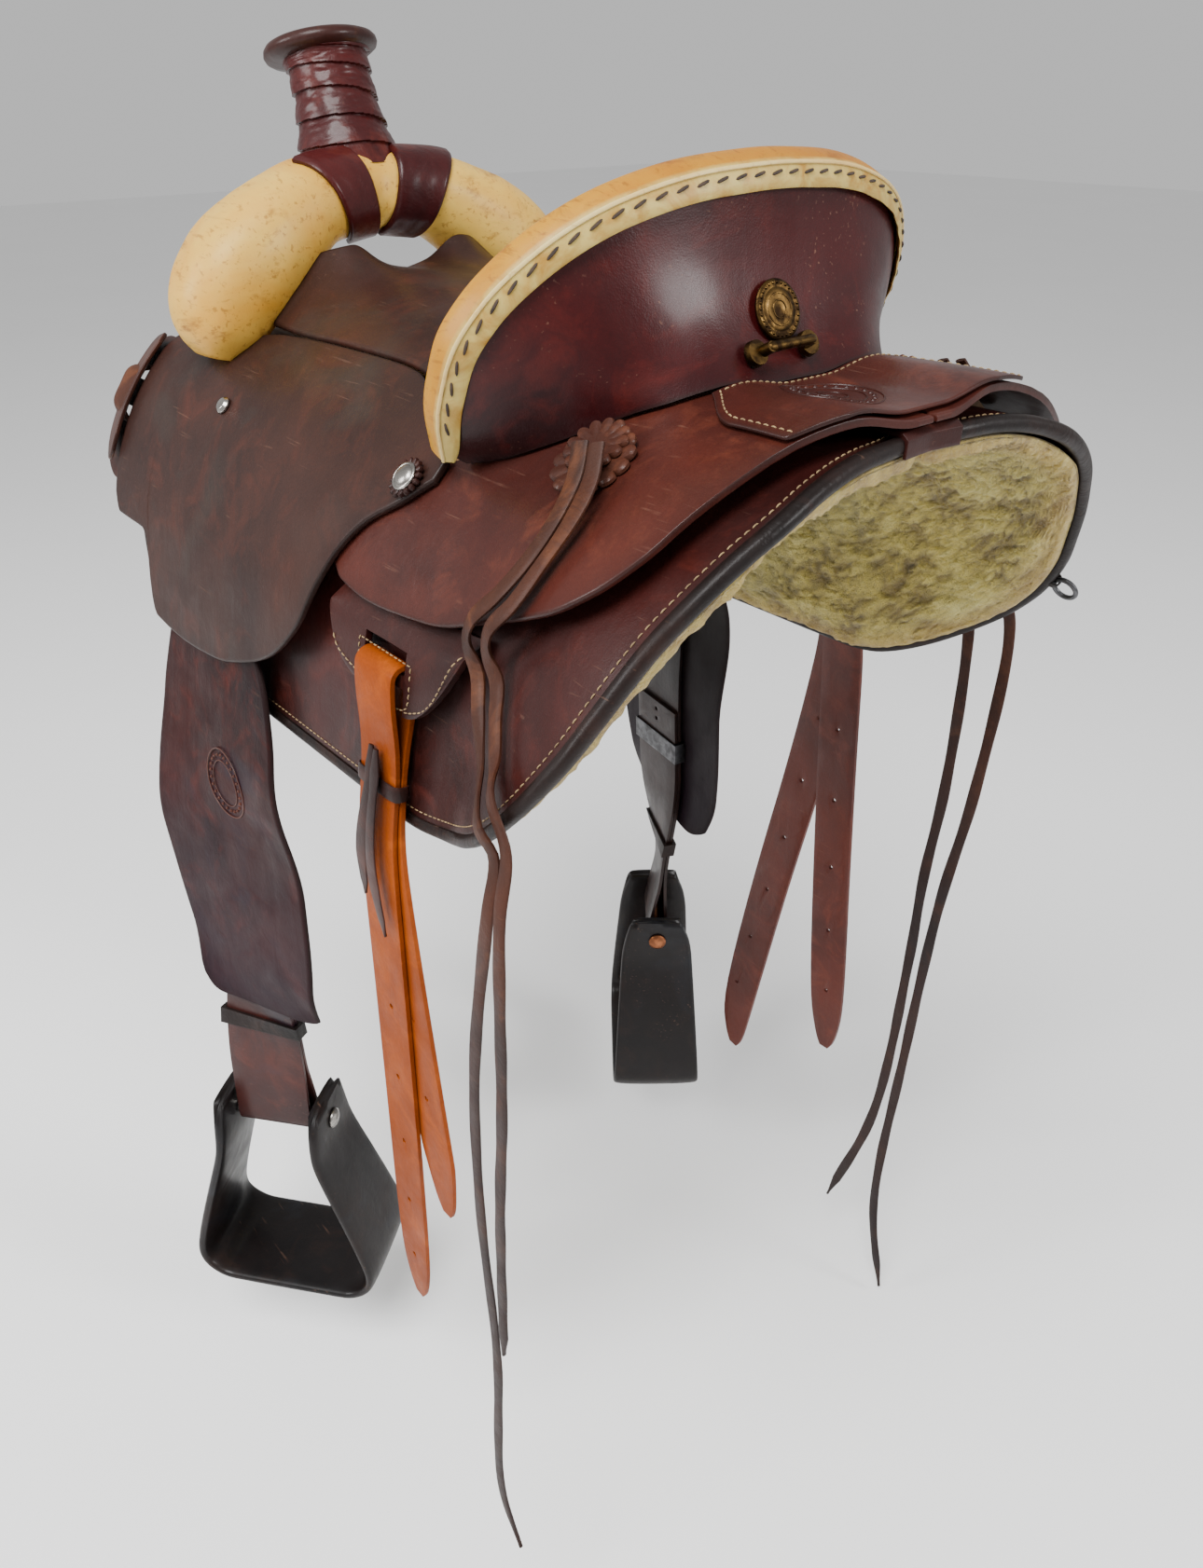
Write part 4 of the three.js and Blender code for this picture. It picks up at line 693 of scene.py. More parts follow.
STRINGS = {
    "rear_string_left_a": (1, 0, [(198, 255), (219, 242), (233, 226)],
                           [(247, 214), (262, 222), (282, 232), (311, 253), (340, 285)],
                           [(258, 296, -98), (267, 300, -130), (268, 274, -269), (268, 267, -405),
                            (268, 273, -555), (268, 264, -758), (268, 286, -810)]),
    "rear_string_left_b": (1, 14, [(200, 269), (222, 261), (236, 248)],
                           [(249, 240), (262, 247), (282, 256), (306, 272), (322, 288)],
                           [(256, 305, -92), (267, 312, -125), (268, 302, -285), (268, 292, -381),
                            (268, 283, -545)]),
    "rear_string_right_a": (-1, 0, [(198, 255), (219, 242), (233, 226)],
                            [(247, 220), (275, 224), (312, 232), (345, 238), (362, 240)],
                            [(252, 243, -150), (255, 242, -280), (254, 236, -383), (254, 235, -473),
                             (254, 222, -698), (254, 178, -866)]),
    "rear_string_right_b": (-1, 14, [(202, 271), (224, 268), (242, 264)],
                            [(262, 258), (275, 254), (312, 262), (340, 266), (356, 268)],
                            [(266, 271, -138), (260, 268, -280), (256, 256, -400), (256, 246, -600),
                             (256, 240, -834), (256, 264, -947)]),
}
STRING_WIDE, STRING_THICK = 11.0, 3.2


def add_string(node, side, shift, over, skirt_run, drop):
    rail = resample(catmull(string_path(side, shift, over, skirt_run, drop), 12), 5.0)
    t = unit(np.gradient(rail, axis=0))
    normals = []
    for p, d in zip(rail, t):
        out = unit(np.array([side, 0, 0.0])) if p[2] < -60 else flank_normal(side * 230.0, 250.0)
        if p[2] > 20:
            out = flank_normal(side * 170.0, 250.0)
        normals.append(unit(out - d * np.dot(out, d)))
    normals = np.array(normals)
    for _ in range(6):
        eased(normals)
    normals = unit(normals)
    run = np.arange(len(rail)) / (len(rail) - 1)
    wide = STRING_WIDE / 2 * (1 - 0.12 * np.sin(run * 37 + shift) ** 2) * np.clip((1.004 - run) * 26, 0.25, 1)
    pts, faces = loft_mesh(tube(rail, normals, wide, STRING_THICK / 2, 3.2, 14))
    obj = make(node + "_lace", pts, faces, "tree", THONG, "thong", [node])
    row = to_row(rail)


for node, spec in STRINGS.items():
    add_string(node, *spec)


# ---- skirts, rolled edge and fleece ----
SKIRT_HIGH = curve([(-312, 230), (-308, 285), (-300, 318), (-285, 348), (-262, 371), (-230, 384),
                    (-180, 388), (150, 388), (200, 377), (243, 363), (276, 347), (298, 328), (323, 289),
                    (333, 263), (342, 237), (349, 213), (357, 186), (363, 158), (366, 136), (367, 124)])
SKIRT_LOW = curve([(-312, 150), (-300, 90), (-280, 56), (-240, 40), (150, 36), (210, 8), (240, 1.5),
                   (350, 1.5), (352, 10), (358, 50), (363, 85), (366, 108), (367, 116)])
EDGE_PATH = [(4, 350.4), (30, 356), (60, 360), (95, 364.5), (128, 367), (158, 363), (186, 357),
             (213, 349), (237, 342), (263, 333), (289, 323), (312, 310), (329, 297), (347, 276), (363, 243),
             (377, 200), (387, 155), (388, 110), (388, 40), (388, -60), (388, -180), (383, -230), (370, -262),
             (348, -285), (318, -300), (285, -308.5), (232, -312)]
EDGE_PLAN = catmull([(s, y, 0) for s, y in EDGE_PATH], 8)[:, :2]


def edge_frame(plan):
    d = np.gradient(plan, axis=0)
    d /= np.linalg.norm(d, axis=1, keepdims=True)
    return np.stack([-d[:, 1], d[:, 0]], 1)


def along_edge(plan, inset, h):
    out = edge_frame(plan)
    q = plan - out * inset
    return flank(q[:, 0], q[:, 1], h), flank_normal(q[:, 0], q[:, 1])


def add_skirts():
    inset = 5.4
    for tag, side in SIDES:
        high = lambda y: SKIRT_HIGH(y) - inset
        leather("skirt_" + tag + "_leather", SKIRT_FRONT + 6, SKIRT_REAR - 6, SKIRT_LOW, high, -SKIRT_T, 0.0,
                "tree", SKIRT, "skirt", ["skirt_" + tag], side, nu=150, nv=56, r=1.2)
        flip = np.array([side, 1, 1])
        p, n = along_edge(EDGE_PLAN, 10.5, 0.45)
        keep = p[:, 1] > -300
        stitches(f"skirt_{tag}_stitching", p[keep] * flip, n[keep] * flip, "tree", THREAD, "skirt",
                 pitch=5.6, long=3.9, r=0.45)


def add_rolled_edge():
    plan = np.concatenate([EDGE_PLAN[::-1] * np.array([-1, 1]), EDGE_PLAN])
    out = edge_frame(plan)
    section = [(-5.6, -7.0), (-3, -8.0), (0, -8.0), (2.2, -6.6), (3.2, -4.2), (3.2, -1.6), (2.2, 0.8),
               (0, 2.0), (-3, 2.1), (-5.6, 1.0)]
    pts, faces = loft_mesh([[flank(s + p * a, y + q * a, h) for a, h in section]
                            for (s, y), (p, q) in zip(plan, out)])
    make("skirt_rolled_edge", pts, faces, "tree", EDGE, "edge", ["skirt_edge"], smooth_angle=60)


def lock_height(s, y, side):
    """How far the wool stands out at one place: broad waves, separate locks and fine curls."""
    p = Vector((s, y, 40 * side))
    wave = noise.noise(p * 0.030) * 0.9 + noise.noise(p * 0.085 + Vector((9, 3, 1))) * 0.8
    gap = noise.voronoi(p * 0.16 + Vector((wave, -wave, 0)) * 1.4)[0][0]
    return wave * 0.9 + (0.5 - gap) * 1.7 + noise.noise(p * 0.5) * 0.5


def add_fleece():
    """Wool with its own locks: a fine grid on the inner face, pushed out in curls."""
    for tag, side in SIDES:
        y0, y1 = SKIRT_FRONT + 5, SKIRT_REAR - 5
        y = lerp(y0, y1, bunched(240))
        lo, hi = SKIRT_LOW(y), SKIRT_HIGH(y) - 5
        yy, vv = np.meshgrid(y, edge_steps(320, 7.0, 190))
        s = lerp(lo, hi, vv)
        reach = np.minimum(np.minimum(vv, 1 - vv) * (hi - lo), np.minimum(yy - y0, y1 - yy))
        height = np.array([[lock_height(a, b, side) for a, b in zip(*row)] for row in zip(s, yy)])
        # Painted shade: the lock height, 0 to 1, is stored so that the wool material colours the hollows
        # dark.
        lock_shade = np.clip((height + 1.6) / 3.0, 0, 1)
        lift = np.where(reach > 0.5, height * 2.3, 0)
        ridge = np.clip(s / 10.0, 0, 1)
        base = -28.2 - lift * ridge + round_over(reach, 7.0) + 10.5 * (1 - smooth(reach / 42.0))
        base = np.maximum(base, -32.0)
        back = -9.4 - round_over(reach, 3.0) * 0.5 + 0 * s
        flip = np.array([side, 1, 1])
        pts, faces = slab_mesh(flank(s, yy, back) * flip, flank(s, yy, base) * flip)
        obj = make("fleece_" + tag + "_wool", pts, faces, "tree", WOOL, "fleece", ["fleece_" + tag],
                   smooth_angle=0)
        flat = lock_shade.reshape(-1)
        store(obj, "lock_shade", [flat[i] for i, _ in nearest(obj, flank(s, yy, base) * flip)])
        mark_edges(obj, flank(border(s), border(yy), -20.0) * flip)


add_skirts()
add_rolled_edge()
add_fleece()


# ---- jockeys, overlay, rigging plates ----
BACK_HIGH = curve([(54, 240), (65, 248), (101, 252), (165, 247), (223, 235), (283, 222), (310, 206),
                   (329, 180), (335, 158), (342, 126), (346, 92), (354, 43), (358, 14)])
BACK_LOW = curve([(54, 234), (64, 220), (80, 192), (113, 162), (128, 156), (170, 116), (200, 30),
                  (215, 1.5), (358, 1.5)])
JOCKEY_HIGH = curve([(-309, 272), (-300, 290), (-250, 291), (-240, 300), (-232, 343), (-222, 359),
                     (-170, 363), (-106, 358), (-53, 343), (-16, 326), (24, 291), (49, 253), (63, 231),
                     (82, 210), (108, 192), (128, 174)])
JOCKEY_LOW = curve([(-309, 160), (-300, 144), (-255, 140), (-180, 122), (-156, 117), (-68, 112),
                    (-4, 111), (29, 113), (80, 133), (110, 149), (128, 162)])


def back_h(s, y=0):
    return lerp(6.4, 13, smooth((np.abs(s) - 15) / 45))


def rig_base(s):
    return lerp(0.4, 9.6, smooth((s - 244) / 20))


def add_jockeys():
    for tag, side in SIDES:
        leather(f"back_jockey_{tag}_leather", 54, 358, BACK_LOW, BACK_HIGH, back_h,
                lambda s, y: back_h(s) + LEATHER_T, "tree", JOCKEY, "jockey", ["back_jockey_" + tag], side,
                nv=44)
        leather(f"seat_jockey_{tag}_leather", -309, 128, JOCKEY_LOW, JOCKEY_HIGH, 19.0, 24.0,
                "tree", SEAT, "seat", ["seat_jockey_" + tag], side, 130, 44, r=2.1)


def add_overlay():
    half = curve([(264, 72), (305, 97), (343, 97), (352, 62)])
    h = lambda s, y: back_h(s) + LEATHER_T + 1.8
    leather("jockey_overlay_leather", 264, 352, lambda y: -half(y), half, h, lambda s, y: h(s, y) + 2.4,
            "tree", JOCKEY, "jockey", ["jockey_overlay"], 1.0, 60, 60, r=1.1)
    y = np.concatenate([np.linspace(345, 268, 60), np.full(40, 268.0), np.linspace(268, 345, 60)])
    seam = half(y) - 5
    s = np.concatenate([-seam[:60], np.linspace(-seam[60], seam[60], 40), seam[100:]])
    p = flank(s, y, back_h(s) + LEATHER_T + 4.5)
    stitches("overlay_stitching", p, flank_normal(s, y), "tree", THREAD, "jockey", pitch=5.4, long=3.6, r=0.5)


def add_stamp(name, body, place, radius, rings, mat, slot, oval=1.0, rays=24):
    """A plain tooled ornament that follows a surface: raised rings and a ring of dots, with no letters."""
    section, parts = circle(6), []

    def spot(q, c, d):
        return place(radius * q * c, radius * q * d * oval)

    for q, fat in rings:
        loop = []
        for c, d in circle(64):
            mid, n = spot(q, c, d)
            out = unit(spot(q + 0.05, c, d)[0] - mid)
            loop.append(mid + section @ np.array([out, n * 0.8]) * fat)
        parts.append(loft_mesh(loop, closed=True))
    for k in range(rays):
        t = 2 * math.pi * (k + 0.5) / rays
        mid, n = spot(0.82, math.cos(t), math.sin(t))
        a = unit(np.cross(n, (0.1, 0.9, 0.3)))
        plane = section @ np.array([a, np.cross(n, a)]) * radius * 0.055
        parts.append(loft_mesh([mid + plane * math.cos(up * 1.3) + n * (up * radius * 0.045 - 0.2)
                                for up in (0, 0.5, 1)]))
    return make(name, *joined(parts), body, mat, slot)


SLOT_S, SLOT_Y, SLOT_H = 287.0, 127.0, 12.1
SLOT_AT = flank(SLOT_S, SLOT_Y, SLOT_H)
SLOT_ALONG = unit(flank(315, SLOT_Y + 22, 0) - flank(315, SLOT_Y - 22, 0))
SLOT_OUT = unit(np.cross(flank(340, SLOT_Y, 0) - flank(290, SLOT_Y, 0), SLOT_ALONG))
SLOT_DOWN = unit(np.cross(SLOT_ALONG, SLOT_OUT))


def add_plates():
    high = curve([(54, 268), (60, 285), (69, 297), (100, 305), (150, 312), (170, 306), (183, 296),
                  (205, 264), (216, 248)])
    for tag, side in SIDES:
        for end in ("rear", "front"):
            refine(f"{end}_rigging_plate_{tag}", "tree", SKIRT_PLAIN, levels=2, bevel=1.0)
        flip = np.array([side, 1, 1])
        for end, y0, y1 in (("front", 62, SLOT_Y - 26), ("rear", SLOT_Y + 26, 208)):
            y = np.linspace(y0, y1, 60)
            s = high(y) - 6.5
            p = flank(s, y, rig_base(s) + 5.4)
            stitches(f"plate_{tag}_{end}_stitching", p * flip, flank_normal(s, y) * flip, "tree", THREAD,
                     "skirt", pitch=5.4, long=3.8, r=0.5)
        t = np.linspace(0, 2 * math.pi, 80)
        y2, s2 = SLOT_Y + 31 * blunt(np.cos(t), 0.4), 286 + 20 * blunt(np.sin(t), 0.4)
        keep = (s2 > 274) & (s2 < high(y2) - 3)
        p = flank(s2[keep], y2[keep], rig_base(s2[keep]) + 5.4)
        stitches(f"plate_{tag}_slot_stitching", p * flip, flank_normal(s2[keep], y2[keep]) * flip, "tree",
                 THREAD, "skirt", pitch=5.0, long=3.4, r=0.5)


def on_overlay(x, z):
    s, y = 24.0 + x, 306.0 + z
    return flank(s, y, float(back_h(s)) + LEATHER_T + 4.3), flank_normal(s, y)


add_jockeys()
add_overlay()
add_plates()
add_stamp("overlay_stamp", "tree", on_overlay, 29.0, ((1.0, 0.6), (0.66, 0.5), (0.3, 0.45)), JOCKEY_TOOLED,
          "jockey", oval=0.95)


# ---- fork and horn ----
FORK_X = curve([(0, 0), (0.25, 50), (0.45, 90), (0.65, 126), (0.8, 147), (0.92, 156), (1, 159)])
FORK_Z = curve([(0, 181), (0.25, 176), (0.45, 158), (0.65, 132), (0.8, 106), (0.92, 84), (1, 72)])
FORK_A = curve([(0, 31), (0.25, 33), (0.45, 38), (0.65, 43), (0.8, 40), (0.92, 28), (1, 13)])
FORK_B = curve([(0, 34), (0.3, 40), (0.6, 46), (0.85, 40), (1, 22)])
FORK_Y = curve([(0, -232), (0.5, -216), (1, -212)])


def fork_point(t, phi, off=0.0):
    k, side, e = abs(t), (-1 if t < 0 else 1), 0.01
    dx = FORK_X(min(k + e, 1)) - FORK_X(max(k - e, 0))
    dz = FORK_Z(min(k + e, 1)) - FORK_Z(max(k - e, 0))
    n = math.hypot(dx, dz)
    out = (0.0, 1.0) if k < e else (-dz / n, dx / n)
    a, b = FORK_A(k) + off, FORK_B(k) + off
    c, s = math.cos(phi), math.sin(phi)
    r = (abs(c) ** 2.3 + abs(s) ** 2.3) ** (-1 / 2.3)
    return [side * (FORK_X(k) + out[0] * a * r * c), FORK_Y(k) + b * r * s, FORK_Z(k) + out[1] * a * r * c]


def add_fork():
    turn = 2 * math.pi * np.arange(56) / 56
    rings = np.array([[fork_point(t, phi) for phi in turn] for t in np.linspace(-1, 1, 121)])
    for _ in range(3):
        eased(rings)
    flat = rings.reshape(-1, 3)
    out = unit(flat - np.repeat(rings.mean(1), rings.shape[1], 0))
    wave = np.array([noise.noise(p * 0.03) * 1.1 + noise.noise(p * 0.09) * 0.35 for p in map(Vector, flat)])
    pts, faces = loft_mesh((flat + out * (wave[:, None] - 0.3)).reshape(rings.shape))
    obj = make("fork_rawhide_cover", pts, faces, "tree", RAWHIDE, "rawhide", ["fork"], smooth_angle=0)
    mark_edges(obj, [fork_point(t, p) for t in (-1, 1) for p in np.linspace(0, 2 * math.pi, 40)])


HORN = [(-246, 192, 40), (-254, 212, 37), (-260, 232, 33), (-265, 252, 31), (-270, 268, 31.5),
        (-274, 279, 35)]
LEAN = math.radians(14)
WRAP_TURNS = 5.2
CAP_SECTION = [(-1.5, 30), (0, 36), (1.6, 41), (4, 44.6), (7, 46.0), (10, 45.4), (12.4, 43.4), (13.8, 40),
               (14.0, 33), (13.6, 22), (13.5, 10), (13.5, 2)]      # height above its rim's foot, radius
CAP_Y, CAP_Z = -277, HORN_TOP - 14      # foot of the cap's rim
HORN_Y, HORN_Z, HORN_W = (curve([(k, p[i]) for k, p in enumerate(HORN)]) for i in range(3))


def horn_point(f, a, grow):
    r = float(HORN_W(f)) + grow
    q = r * math.sin(a)
    return [r * math.cos(a), float(HORN_Y(f)) + q * math.cos(LEAN), float(HORN_Z(f)) + q * math.sin(LEAN)]


def wrap_point(f, a):
    """Soft leather bands whose turns overlap, with a pulled-tight fold in each."""
    c, d = math.cos(a), math.sin(a)
    wind = f / 5.1 * WRAP_TURNS + a / (2 * math.pi) + 0.06 * math.sin(a * 2 + f)
    step = wind % 1.0
    lap = 2.4 * (1 - step) ** 1.6 + 0.5 * math.sin(step * math.pi)
    fold = 0.9 * noise.noise(Vector((c * 1.6, d * 1.6, wind * 2.1)))
    crease = 0.5 * noise.noise(Vector((c * 5, d * 5, wind * 6)))
    return horn_point(f, a, 0.6 + lap + fold + crease)


def cap_point(up, edge, c, d):
    """The cap, drawn out towards the front and dented a little."""
    q = edge * (1 + 0.16 * float(smooth(-d * 1.2))) * d
    dent = 0.35 * noise.noise(Vector((c * 2, d * 2, up * 0.3)))
    return [(edge + dent) * c, CAP_Y + q * math.cos(LEAN) - up * math.sin(LEAN),
            CAP_Z + q * math.sin(LEAN) + up * math.cos(LEAN)]


def add_horn():
    turn = 2 * math.pi * np.arange(84) / 84
    pts, faces = loft_mesh([[wrap_point(f, a) for a in turn] for f in np.linspace(-0.25, 4.86, 150)])
    make("horn_wrap_bands", pts, faces, "tree", HORN_DYE, "horn", ["horn_wrap"], smooth_angle=55)
    pts, faces = loft_mesh([[cap_point(up, edge, c, d) for c, d in circle(72)] for up, edge in CAP_SECTION])
    make("horn_cap_cover", pts, faces, "tree", CAP, "horn", ["horn"], smooth_angle=0)


def horn_strap_point(u, v, side):
    """Outer and inner point of a strap, u across it and v down it."""
    t = side * lerp(0.085 - 0.065 * v, 0.30 - 0.12 * v, u)
    turn = math.radians(lerp(14, 158, v))
    wrinkle = 0.2 * math.sin(u * 19 + v * 7) * math.sin(v * 3.1)
    top = 4.2 - float(round_over(min(u, 1 - u) * 40, 1.6)) + wrinkle
    return fork_point(t, turn, top), fork_point(t, turn, 0.2)


def add_horn_straps():
    """Two straps that run from the wrap down over the fork, with a bare wedge between them."""
    for tag, side in SIDES:
        grid = np.array([[horn_strap_point(u, v, side) for u in np.linspace(0, 1, 22)]
                         for v in np.linspace(0, 1, 40)])
        pts, faces = slab_mesh(grid[:, :, 0], grid[:, :, 1])
        make(f"horn_strap_{tag}_band", pts, faces, "tree", HORN_DYE, "horn", ["horn_wrap_strap_" + tag],
             smooth_angle=60)


add_fork()
add_horn()
add_horn_straps()


# ---- cantle ----
RIM = [(0, 222, 219), (52, 219, 216), (100, 211, 206), (132, 201, 192), (154, 189, 175),
       (170, 177, 156), (179, 164, 133), (179, 151, 106), (169, 138, 74)]
RIM_X, RIM_Y, RIM_Z = (curve([(k / 8, p[i]) for k, p in enumerate(RIM)]) for i in range(3))
BASE_S = curve([(0, 0), (0.25, 48), (0.45, 82), (0.6, 100), (0.75, 120), (0.9, 143), (1, 156)])
BASE_Y = curve([(0, 256), (0.25, 258), (0.45, 246), (0.6, 228), (0.75, 204), (0.9, 168), (1, 134)])


def rim(u):
    k = abs(u)
    return np.array([math.copysign(1, u) * RIM_X(k), RIM_Y(k), RIM_Z(k)])


def cantle_base(u, h):
    k = abs(u)
    return flank(math.copysign(1, u) * BASE_S(k), BASE_Y(k), h)


def rim_frame(u):
    e = 0.012
    c = rim(u)
    along = unit(rim(min(u + e, 1)) - rim(max(u - e, -1)))
    to_base = unit(cantle_base(u * 0.86, 20) - c)
    back = facing(unit(np.cross(to_base, along)), (0, 1, 0))
    return c, facing(unit(np.cross(along, back)), to_base), back


def rim_rows(us):
    """Frames along the rim, evened out so that the roll is one smooth bend."""
    frames = [rim_frame(u) for u in us]
    c, down, back = (np.array([f[i] for f in frames]) for i in range(3))
    for _ in range(8):
        for a in (c, down, back):
            eased(a)
    return c, unit(down), unit(back)


def cantle_face(u, v, b, frame_at=None):
    w = u * 0.985
    c, down, back = frame_at or rim_frame(w)
    top = c + down * 1.2 + back * b
    foot = cantle_base(w, float(back_h(float(BASE_S(abs(w))))) + LEATHER_T + 1.9)
    bulge = 9 * math.sin(math.pi * v) * float(smooth(abs(u) * 2.2)) * (1 - abs(u) ** 4)
    lift = back * (bulge + (b - 3.6) * v)
    flare = np.array([v, lerp(v, v ** 3, 1 - abs(u) ** 3), v])
    return lerp(top, foot, flare) + lift


def add_cantle():
    us = np.linspace(-1, 1, 150)
    c, down, back = rim_rows(us * 0.985)
    outer, inner = (np.array([[cantle_face(u, v, b, frame_at) for u, *frame_at in zip(us, c, down, back)]
                              for v in np.linspace(0, 1, 44)]) for b in (8.0, 3.6))
    pts, faces = slab_mesh(outer, inner)
    obj = make("cantle_back_leather", pts, faces, "tree", BACK, "oxblood", ["cantle_back"], smooth_angle=60)
    mark_edges(obj, np.concatenate([outer[-1], outer[:, 0], outer[:, -1]]))


def add_binding():
    """The rolled rim with its flange, the lace that runs through it and the crease beside the roll."""
    us = np.linspace(-1, 1, 170)
    c, down, back = rim_rows(us)
    t = np.linspace(0, 1, 14)
    arc = [(-10.6 * math.sin(math.pi * k) - 0.2, lerp(-14.2, 11.2, k)) for k in t]
    section = arc + [(4, 11.9), (9, 11.6), (13, 11.2), (14.2, 10.4), (13.6, 9.4), (9, 9.0), (4, 8.8),
                     (0.4, 8.5)]
    rings = []
    for i, u in enumerate(us):
        end = 1 - 0.45 * abs(u) ** 24
        wob = 0.5 * math.sin(u * 61) * math.sin(u * 23)
        rings.append([c[i] + down[i] * (a * end if a > 0.5 else a) + back[i] * (b + (wob if a > 9 else 0))
                      for a, b in section])
    pts, faces = loft_mesh(rings)
    obj = make("cantle_rim_binding", pts, faces, "tree", BINDING, "binding", ["cantle_binding"],
               smooth_angle=60)
    mark_edges(obj, np.array([r[17] for r in rings]))
    mark_flesh(obj, np.array([r[:13] for r in rings]), np.array([r[13:] for r in rings]))
    line = c + down * np.where(np.abs(us) < 0.97, 6.0, 5.0)[:, None] + back * 12.4
    stitches("cantle_rim_lacing", line[3:-3], back[3:-3], "tree", LACE, "binding", pitch=13.5, long=9.0,
             r=0.95, skew=0.22)
    pts, faces = loft_mesh(tube(c + down + back * 11.9, back, 1.2, 0.9, 2.0, 8))
    make("cantle_rim_crease", pts, faces, "tree", FLANGE, "binding")


add_cantle()
add_binding()


# ---- seat ----
SEAM_S = curve([(-176, 117), (-156, 114), (-68, 109), (0, 108), (29, 110), (80, 129), (130, 152)])
SEAT_ROWS = {2: (98, 40, 2.2), 3: (40, 24, 2), 4: (-60, 27, 2), 5: (-130, 34, 2)}
LIP_Z = curve([(0, 126), (20, 132), (50, 149), (75, 143), (95, 125), (122, 97)])


def seat_row(k, u):
    w, side = abs(u), math.copysign(1, u)
    if k < 2:
        c, down, back = rim_frame(u * (0.97 if k == 0 else 0.95))
        return c + (down * 1.6 - back * 14.6 if k == 0 else down * (48 - 22 * w ** 3) - back * 17)
    if k == 6:
        x = w * 122
        tuck = 26 * float(smooth((w - 0.42) / 0.3))
        return np.array([side * x, -178 + 18 * w - tuck, float(LIP_Z(x))])
    y, hc, p = SEAT_ROWS[k]
    yy = y + (20 * w if k == 2 else 0)
    return flank(side * w * float(SEAM_S(yy)), yy, hc + (24 - hc) * w ** p)


def add_seat():
    nu, nv = 121, 120
    us = np.linspace(-1, 1, nu)
    rows = np.array([[seat_row(k, u) for u in us] for k in range(7)])
    for k in (0, 1):
        for _ in range(4):
            eased(rows[k])
    top = np.zeros((nv, nu, 3))
    for j in range(nv):
        f = 6 * j / (nv - 1)
        k = min(int(f), 5)
        t = f - k
        a, b, c, d = (rows[min(max(k + m, 0), 6)] for m in (-1, 0, 1, 2))
        top[j] = 0.5 * (2 * b + (c - a) * t + (2 * a - 5 * b + 4 * c - d) * t * t
                        + (3 * b - a - 3 * c + d) * t ** 3)
    n = unit(np.cross(np.gradient(top, axis=0), np.gradient(top, axis=1)))
    across = np.minimum(np.arange(nu), np.arange(nu)[::-1])[None, :] * 2.0
    fore = np.minimum(np.arange(nv), np.arange(nv)[::-1])[:, None] * 3.4
    reach = np.minimum(across, fore)
    outer = top - n * round_over(reach, 2.0)[..., None]
    pts, faces = slab_mesh(outer, top - n * LEATHER_T)
    obj = make("seat_leather_top", pts, faces, "tree", SEAT, "seat", ["seat_leather"], smooth_angle=60)
    mark_edges(obj, np.concatenate([top[-1], top[0]]))


add_seat()


# ---- fenders, stirrup leathers and stirrups ----
TILT = math.radians(WAIST[1])
ARC_END = WAIST[0] + ARC_R * TILT
PIVOT_S, PIVOT_Y = 262.0, -125.0
PIVOT_AT = flank(ARC_END, PIVOT_Y, 8.4) + np.array([math.cos(TILT), 0, -math.sin(TILT)]) * (PIVOT_S - ARC_END)
HANG_FLAT, HANG_BEND, HANG_STEP, BOLT_YAW = 150.0, 90.0, 4.0, 39.0


def hang_angle(d):
    return lerp(TILT, math.radians(87.5), float(smooth((d - HANG_FLAT) / HANG_BEND)))


def hang_line():
    pts = [PIVOT_AT.copy()]
    for k in range(162):
        a = hang_angle((k + 0.5) * HANG_STEP)
        pts.append(pts[-1] + np.array([math.cos(a), 0, -math.sin(a)]) * HANG_STEP)
    return np.array(pts)


HANG_LINE = hang_line()


def hang(d):
    k = min(max(d / HANG_STEP, 0), len(HANG_LINE) - 2)
    i = int(k)
    p = lerp(HANG_LINE[i], HANG_LINE[i + 1], k - i)
    a = hang_angle(d)
    if d < 0:
        p = p + np.array([math.cos(a), 0, -math.sin(a)]) * d
    turned = 0.26 * float(smooth((d - 160) / 130)) + 0.74 * float(smooth((d - 385) / 150))
    yaw = math.radians(BOLT_YAW) * turned
    c, s = math.cos(yaw), math.sin(yaw)
    out = np.array([c * math.sin(a), -s * math.sin(a), math.cos(a)])
    w = np.array([s, -c, 0.0])
    out = unit(out - w * np.dot(out, w))
    return p, w, out


def hang_point(d, across, off):
    p, w, out = hang(d)
    return p + w * across + out * off


FENDER_FRONT = curve([(20, 40), (60, 62), (110, 92), (170, 106), (250, 106), (330, 92), (400, 74), (440, 62)])
FENDER_REAR = curve([(20, 40), (60, 60), (110, 88), (170, 101), (250, 103), (330, 103), (400, 98), (446, 88)])


def fender_point(a, v):
    """Outer and inner point of a fender, a across it and v down it."""
    foot, top = 448 + 4 * a - 16 * abs(a) ** 8, 20 + 4 * abs(a) ** 8
    d = lerp(top, foot, v)
    half = float((FENDER_FRONT if a > 0 else FENDER_REAR)(d)) * (1 - 0.12 * float(smooth((d - 425) / 30)))
    off = lerp(3.0, 5.4, float(smooth((d - 130) / 90)))
    drop = float(round_over(min((1 - abs(a)) * half, v * (foot - top), (1 - v) * (foot - top)), 1.6))
    dish = 0.7 * math.sin(d * 0.021 + a * 2) * (1 - abs(a))
    return (hang_point(d, a * half, off + FENDER_T - drop + dish),
            hang_point(d, a * half, off + drop * 0.4 + dish))


STAMP_DOWN, STAMP_ACROSS = 207, -16      # place on the fender


